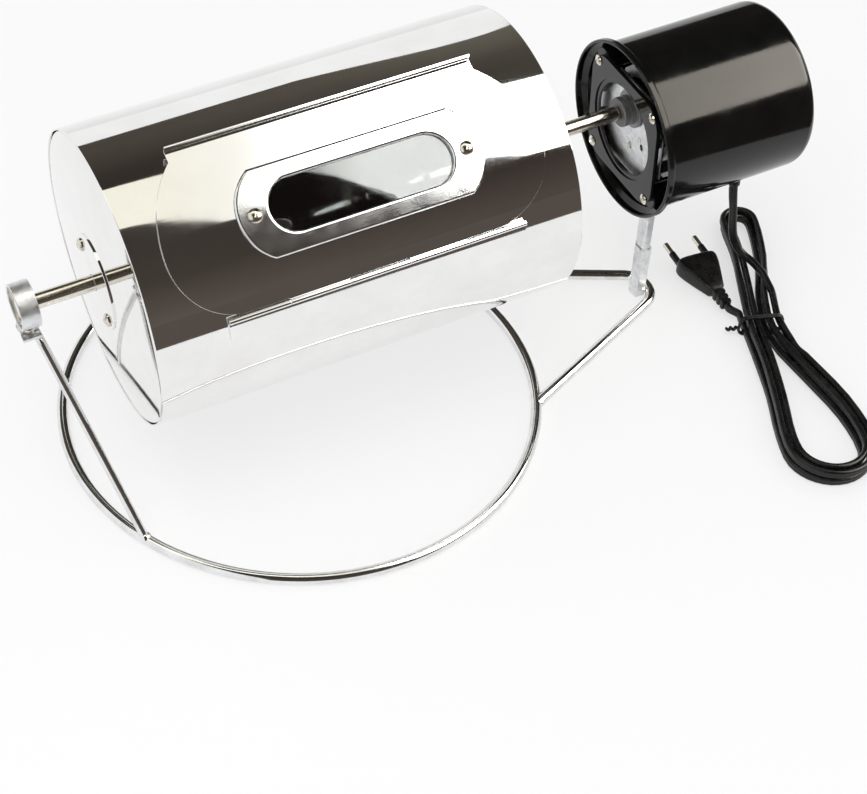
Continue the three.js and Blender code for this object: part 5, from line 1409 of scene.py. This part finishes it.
def output_bush():
    radius, flange_radius, thickness = BUSH
    front, back = BUSH_X
    bore = OUTPUT_RADIUS + HOLE_GAP
    return lathe([
        (front, bore, FINE_EDGE), (front, radius, 0.7), (front + 3.2, radius), (front + 3.4, radius - 0.4), (front + 3.9, radius - 0.4),
        (front + 4.1, radius), (back - thickness, radius, FINE_EDGE), (back - thickness, flange_radius, 0.4), (back, flange_radius, FINE_EDGE), (back, bore),
    ], 64)


def adapter_screws():
    reach = ADAPTER_SCREW_REACH
    out = []
    for y, z in CORNERS:
        made = mirrored(at(screw(*ADAPTER_SCREW_HEAD, 1.25, 12, 32), -ADAPTER_X[0]))
        out.append(at(made, 0, y * reach, z * reach - MOTOR_DROP))
    return out


def gearbox_posts():
    start = ADAPTER_X[1] + HOLE_GAP
    out = []
    for y, z in CORNERS:
        made = lathe([(start, 0), (start, POST_RADIUS, 0.5), (POST_BACK_X, POST_RADIUS, 0.4), (POST_BACK_X, 0)], 32)
        out.append(at(made, 0, y * POST_REACH[0], z * POST_REACH[1] - MOTOR_DROP))
    return out


add("cover", cover(), "black_plastic", "stand", ["motor_cover"], ON_DRIVE)
add("adapter", adapter(), "black_plastic", "stand", ["adapter_plate"], ON_DRIVE)
add("front_plate", gear_plate(), "zinc_sheet", "stand", ["gearbox_front_plate"], ON_DRIVE)
add("bush", output_bush(), "laminations", "stand", ["output_bush"], ON_DRIVE)
for number, made in enumerate(adapter_screws(), 1):
    add(f"screw_of_adapter_{number}", made, "turned_steel", "stand", [f"adapter_screw_{number}"], ON_DRIVE)
for number, made in enumerate(gearbox_posts(), 1):
    add(f"post_{number}", made, "black_steel", "stand", [f"gearbox_post_{number}"], ON_DRIVE)

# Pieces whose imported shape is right

CARRIED = {
    "turned_steel": ("output_shaft", "upright_screw"),
    "mirror_steel": ("mixing_vane_1", "mixing_vane_2", "mixing_vane_3"),
    "cage_brass": ("bearing_cage",),
    "catch_magnet": ("door_catch",),
    "zinc_sheet": ("gearbox_rear_plate", "rotor_bracket"),
    "gear_nylon": ("gear_a", "gear_b"),
    "laminations": ("rotor", "motor_stator"),
    "coil_tape": ("motor_coil",),
}
for finish, names in CARRIED.items():
    for name in names:
        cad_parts[name].data.materials.clear()
        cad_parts[name].data.materials.append(FINISHES[finish])

# Studio

FLOOR_HALF = 15
FLOOR_GLOW = 0.6
CARD_DISTANCE = 12
DRUM_CENTRE = Vector((STAND_X, 0, AXIS_HEIGHT)) * MM
LIGHT_LEVEL = 0.74
KEY_ENERGY = 15

# Edges of the strips that show as bands on the drum and the cover: each stop is the share of a reflected
# direction along X and the edge there, in degrees from the back horizon over the top
BACK_START = ((0.28, 24), (0.35, 37), (0.38, 37), (0.41, 2))
LIGHT_START = ((0, 70), (0.16, 74), (0.19, 76), (0.37, 90), (0.47, 93))
LIGHT_END = (
    (-0.1, 92), (0.16, 107), (0.18, 114), (0.205, 124), (0.23, 125.2), (0.26, 125.8), (0.295, 127.3), (0.34, 134),
    (0.37, 145), (0.5, 153),
)
FRONT_END = ((0, 204), (1, 204))
# Near edge of the dark part of the floor, in metres from the middle of the drum
DARK_FLOOR = ((-1, -0.48), (0.16, -0.48), (0.3, -0.46), (0.36, -0.34), (0.41, -0.22), (0.7, 0.1), (4, 0.3))
DARK_FLOOR_FAR = -13


def between(stops, place):
    """The value of the stops at a place, held beyond the first and the last."""
    if place <= stops[0][0]:
        return stops[0][1]
    for (low, first), (high, second) in zip(stops, stops[1:]):
        if place <= high:
            return first + (second - first) * (place - low) / (high - low)
    return stops[-1][1]


def stage_object(name, bm, material):
    mesh = bpy.data.meshes.new(name)
    bm.to_mesh(mesh)
    bm.free()
    mesh.materials.append(material)
    made = bpy.data.objects.new(name, mesh)
    bpy.context.scene.collection.objects.link(made)
    return made


def ramp(tree, value, stops):
    """A colour that follows stops along a value."""
    low, high = stops[0][0], stops[-1][0]
    share = node(tree, "ShaderNodeMapRange", {"Value": value, "From Min": low, "From Max": high})
    made = node(tree, "ShaderNodeValToRGB", {"Fac": share.outputs["Result"]})
    elements = made.color_ramp.elements
    elements[0].color, elements[1].color = (*stops[0][1], 1), (*stops[-1][1], 1)
    for place, colour in stops[1:-1]:
        elements.new((place - low) / (high - low)).color = (*colour, 1)
    return made.outputs["Color"]


def strength(tree, value, stops):
    """A strength that follows stops along a value."""
    most = max(level for _, level in stops)
    shares = ramp(tree, value, [(place, (level / most,) * 3) for place, level in stops])
    return node(tree, "ShaderNodeMath", {0: shares, 1: most}, operation="MULTIPLY").outputs[0]


def glow(name, colours, along, around=None):
    """Glow with stops of colour and of strength along X, and of strength round the drive line."""
    material = bpy.data.materials.new(name)
    material.use_nodes = True
    tree = material.node_tree
    tree.nodes.remove(tree.nodes["Principled BSDF"])
    place = node(tree, "ShaderNodeTexCoord").outputs["Object"]
    parts = node(tree, "ShaderNodeSeparateXYZ", {"Vector": place}).outputs
    along_x = node(tree, "ShaderNodeMath", {0: parts["X"], 1: DRUM_CENTRE.x}, operation="SUBTRACT").outputs[0]
    share = node(tree, "ShaderNodeMath", {0: along_x, 1: CARD_DISTANCE}, operation="DIVIDE").outputs[0]
    power = strength(tree, share, along)
    if around:
        level = node(tree, "ShaderNodeMath", {0: parts["Z"], 1: DRUM_CENTRE.z}, operation="SUBTRACT").outputs[0]
        ahead = node(tree, "ShaderNodeMath", {0: parts["Y"], 1: -1.0}, operation="MULTIPLY").outputs[0]
        turn = node(tree, "ShaderNodeMath", {0: level, 1: ahead}, operation="ARCTAN2").outputs[0]
        degrees = node(tree, "ShaderNodeMath", {0: turn}, operation="DEGREES").outputs[0]
        behind = node(tree, "ShaderNodeMath", {0: 180.0, 1: degrees}, operation="SUBTRACT").outputs[0]
        round_line = strength(tree, behind, around)
        power = node(tree, "ShaderNodeMath", {0: power, 1: round_line}, operation="MULTIPLY").outputs[0]
    light = node(tree, "ShaderNodeEmission", {"Color": ramp(tree, share, colours), "Strength": power})
    tree.links.new(light.outputs["Emission"], tree.nodes["Material Output"].inputs["Surface"])
    return material


def card(name, low, high, material, reach=(-0.6, 0.93)):
    """A strip of the studio, between two edges, that only shows in reflections."""
    bm = bmesh.new()
    bmesh.ops.create_grid(bm, x_segments=120, y_segments=24, size=0.5)
    for vert in bm.verts:
        x = reach[0] + (reach[1] - reach[0]) * (vert.co.x + 0.5)
        bottom, top = between(low, x), between(high, x)
        angle = math.radians(bottom + (top - bottom) * (vert.co.y + 0.5))
        level = math.sqrt(1 - x * x)
        vert.co = DRUM_CENTRE + CARD_DISTANCE * Vector((x, level * math.cos(angle), level * math.sin(angle)))
    made = stage_object(name, bm, material)
    made.visible_camera = made.visible_diffuse = made.visible_shadow = False


def make_cards():
    dark = ((0.17, (0.1, 0.083, 0.07)), (0.37, (0.075, 0.06, 0.052)))
    even = ((0, 1), (1, 1))
    card("back_strip", BACK_START, LIGHT_START, glow(
        "back strip", ((0.17, (0.1, 0.083, 0.07)), (0.37, (0.14, 0.125, 0.1))), ((0.28, 0.75), (0.36, 1), (0.39, 1), (0.41, 0.3)), ((36, 1.0), (50, 0.8), (62, 0.55), (76, 0.45)),
    ))
    card("overhead_light", LIGHT_START, LIGHT_END, glow(
        "overhead light", ((0.17, (1, 0.97, 0.84)), (0.25, (1, 1, 0.96)), (0.36, (1, 1, 1)), (0.41, (1, 0.93, 0.82))),
        ((0.08, 1.5), (0.13, 1.05), (0.22, 1.1), (0.245, 3), (0.28, 7), (0.36, 7), (0.41, 5), (0.46, 6.5), (0.51, 9)),
    ))
    card("front_strip", LIGHT_END, FRONT_END, glow("front strip", dark, even, ((110, 0.45), (150, 0.6), (179, 1.15))))
    bm = bmesh.new()
    bmesh.ops.create_grid(bm, x_segments=240, y_segments=1, size=1)
    for vert in bm.verts:
        x = 0.8 * vert.co.x + 12 * vert.co.x**3  # rows close together under the object
        vert.co = (DRUM_CENTRE.x + x, DARK_FLOOR_FAR if vert.co.y < 0 else between(DARK_FLOOR, x), MM)
    made = stage_object("dark_floor", bm, glow("dark floor", dark, even))
    made.visible_camera = made.visible_diffuse = made.visible_shadow = made.visible_transmission = False


def seen_directly(tree):
    """1 for rays from the camera and for reflected and refracted ones."""
    path = node(tree, "ShaderNodeLightPath").outputs
    first = node(tree, "ShaderNodeMath", {0: path["Is Camera Ray"], 1: path["Is Glossy Ray"]}, operation="MAXIMUM").outputs[0]
    return node(tree, "ShaderNodeMath", {0: first, 1: path["Is Transmission Ray"]}, operation="MAXIMUM").outputs[0]


def make_floor():
    material = bpy.data.materials.new("floor")
    material.use_nodes = True
    tree = material.node_tree
    surface = tree.nodes["Principled BSDF"]
    surface.inputs["Base Color"].default_value = (0.9, 0.9, 0.9, 1)
    surface.inputs["Roughness"].default_value = 0.9
    surface.inputs["Specular IOR Level"].default_value = 0.0
    white = node(tree, "ShaderNodeEmission", {"Color": (1, 1, 1, 1), "Strength": 1.0})
    share = node(tree, "ShaderNodeMath", {0: seen_directly(tree), 1: FLOOR_GLOW}, operation="MULTIPLY").outputs[0]
    mix = node(tree, "ShaderNodeMixShader", {0: share})
    tree.links.new(surface.outputs["BSDF"], mix.inputs[1])
    tree.links.new(white.outputs["Emission"], mix.inputs[2])
    tree.links.new(mix.outputs[0], tree.nodes["Material Output"].inputs["Surface"])
    bm = bmesh.new()
    bmesh.ops.create_grid(bm, x_segments=1, y_segments=1, size=FLOOR_HALF)
    stage_object("floor", bm, material)


def make_world():
    world = bpy.data.worlds.new("studio")
    world.use_nodes = True
    bpy.context.scene.world = world
    tree = world.node_tree
    sky = tree.nodes["Background"]
    sky.inputs["Color"].default_value = (1, 1, 1, 1)
    level = node(tree, "ShaderNodeMapRange", {"Value": seen_directly(tree), "To Min": LIGHT_LEVEL, "To Max": 1.0})
    tree.links.new(level.outputs["Result"], sky.inputs["Strength"])


def make_key():
    data = bpy.data.lights.new("key", "AREA")
    data.energy, data.size = KEY_ENERGY, 1.4
    key = bpy.data.objects.new("key", data)
    key.location = (-0.5, -0.7, 1.7)
    key.rotation_mode = "QUATERNION"
    key.rotation_quaternion = (Vector((0, 0, 0.08)) - key.location).to_track_quat("-Z", "Y")
    key.visible_glossy = key.visible_camera = False
    bpy.context.scene.collection.objects.link(key)


make_cards()
make_floor()
make_world()
make_key()
bpy.context.scene.view_settings.view_transform = "Standard"
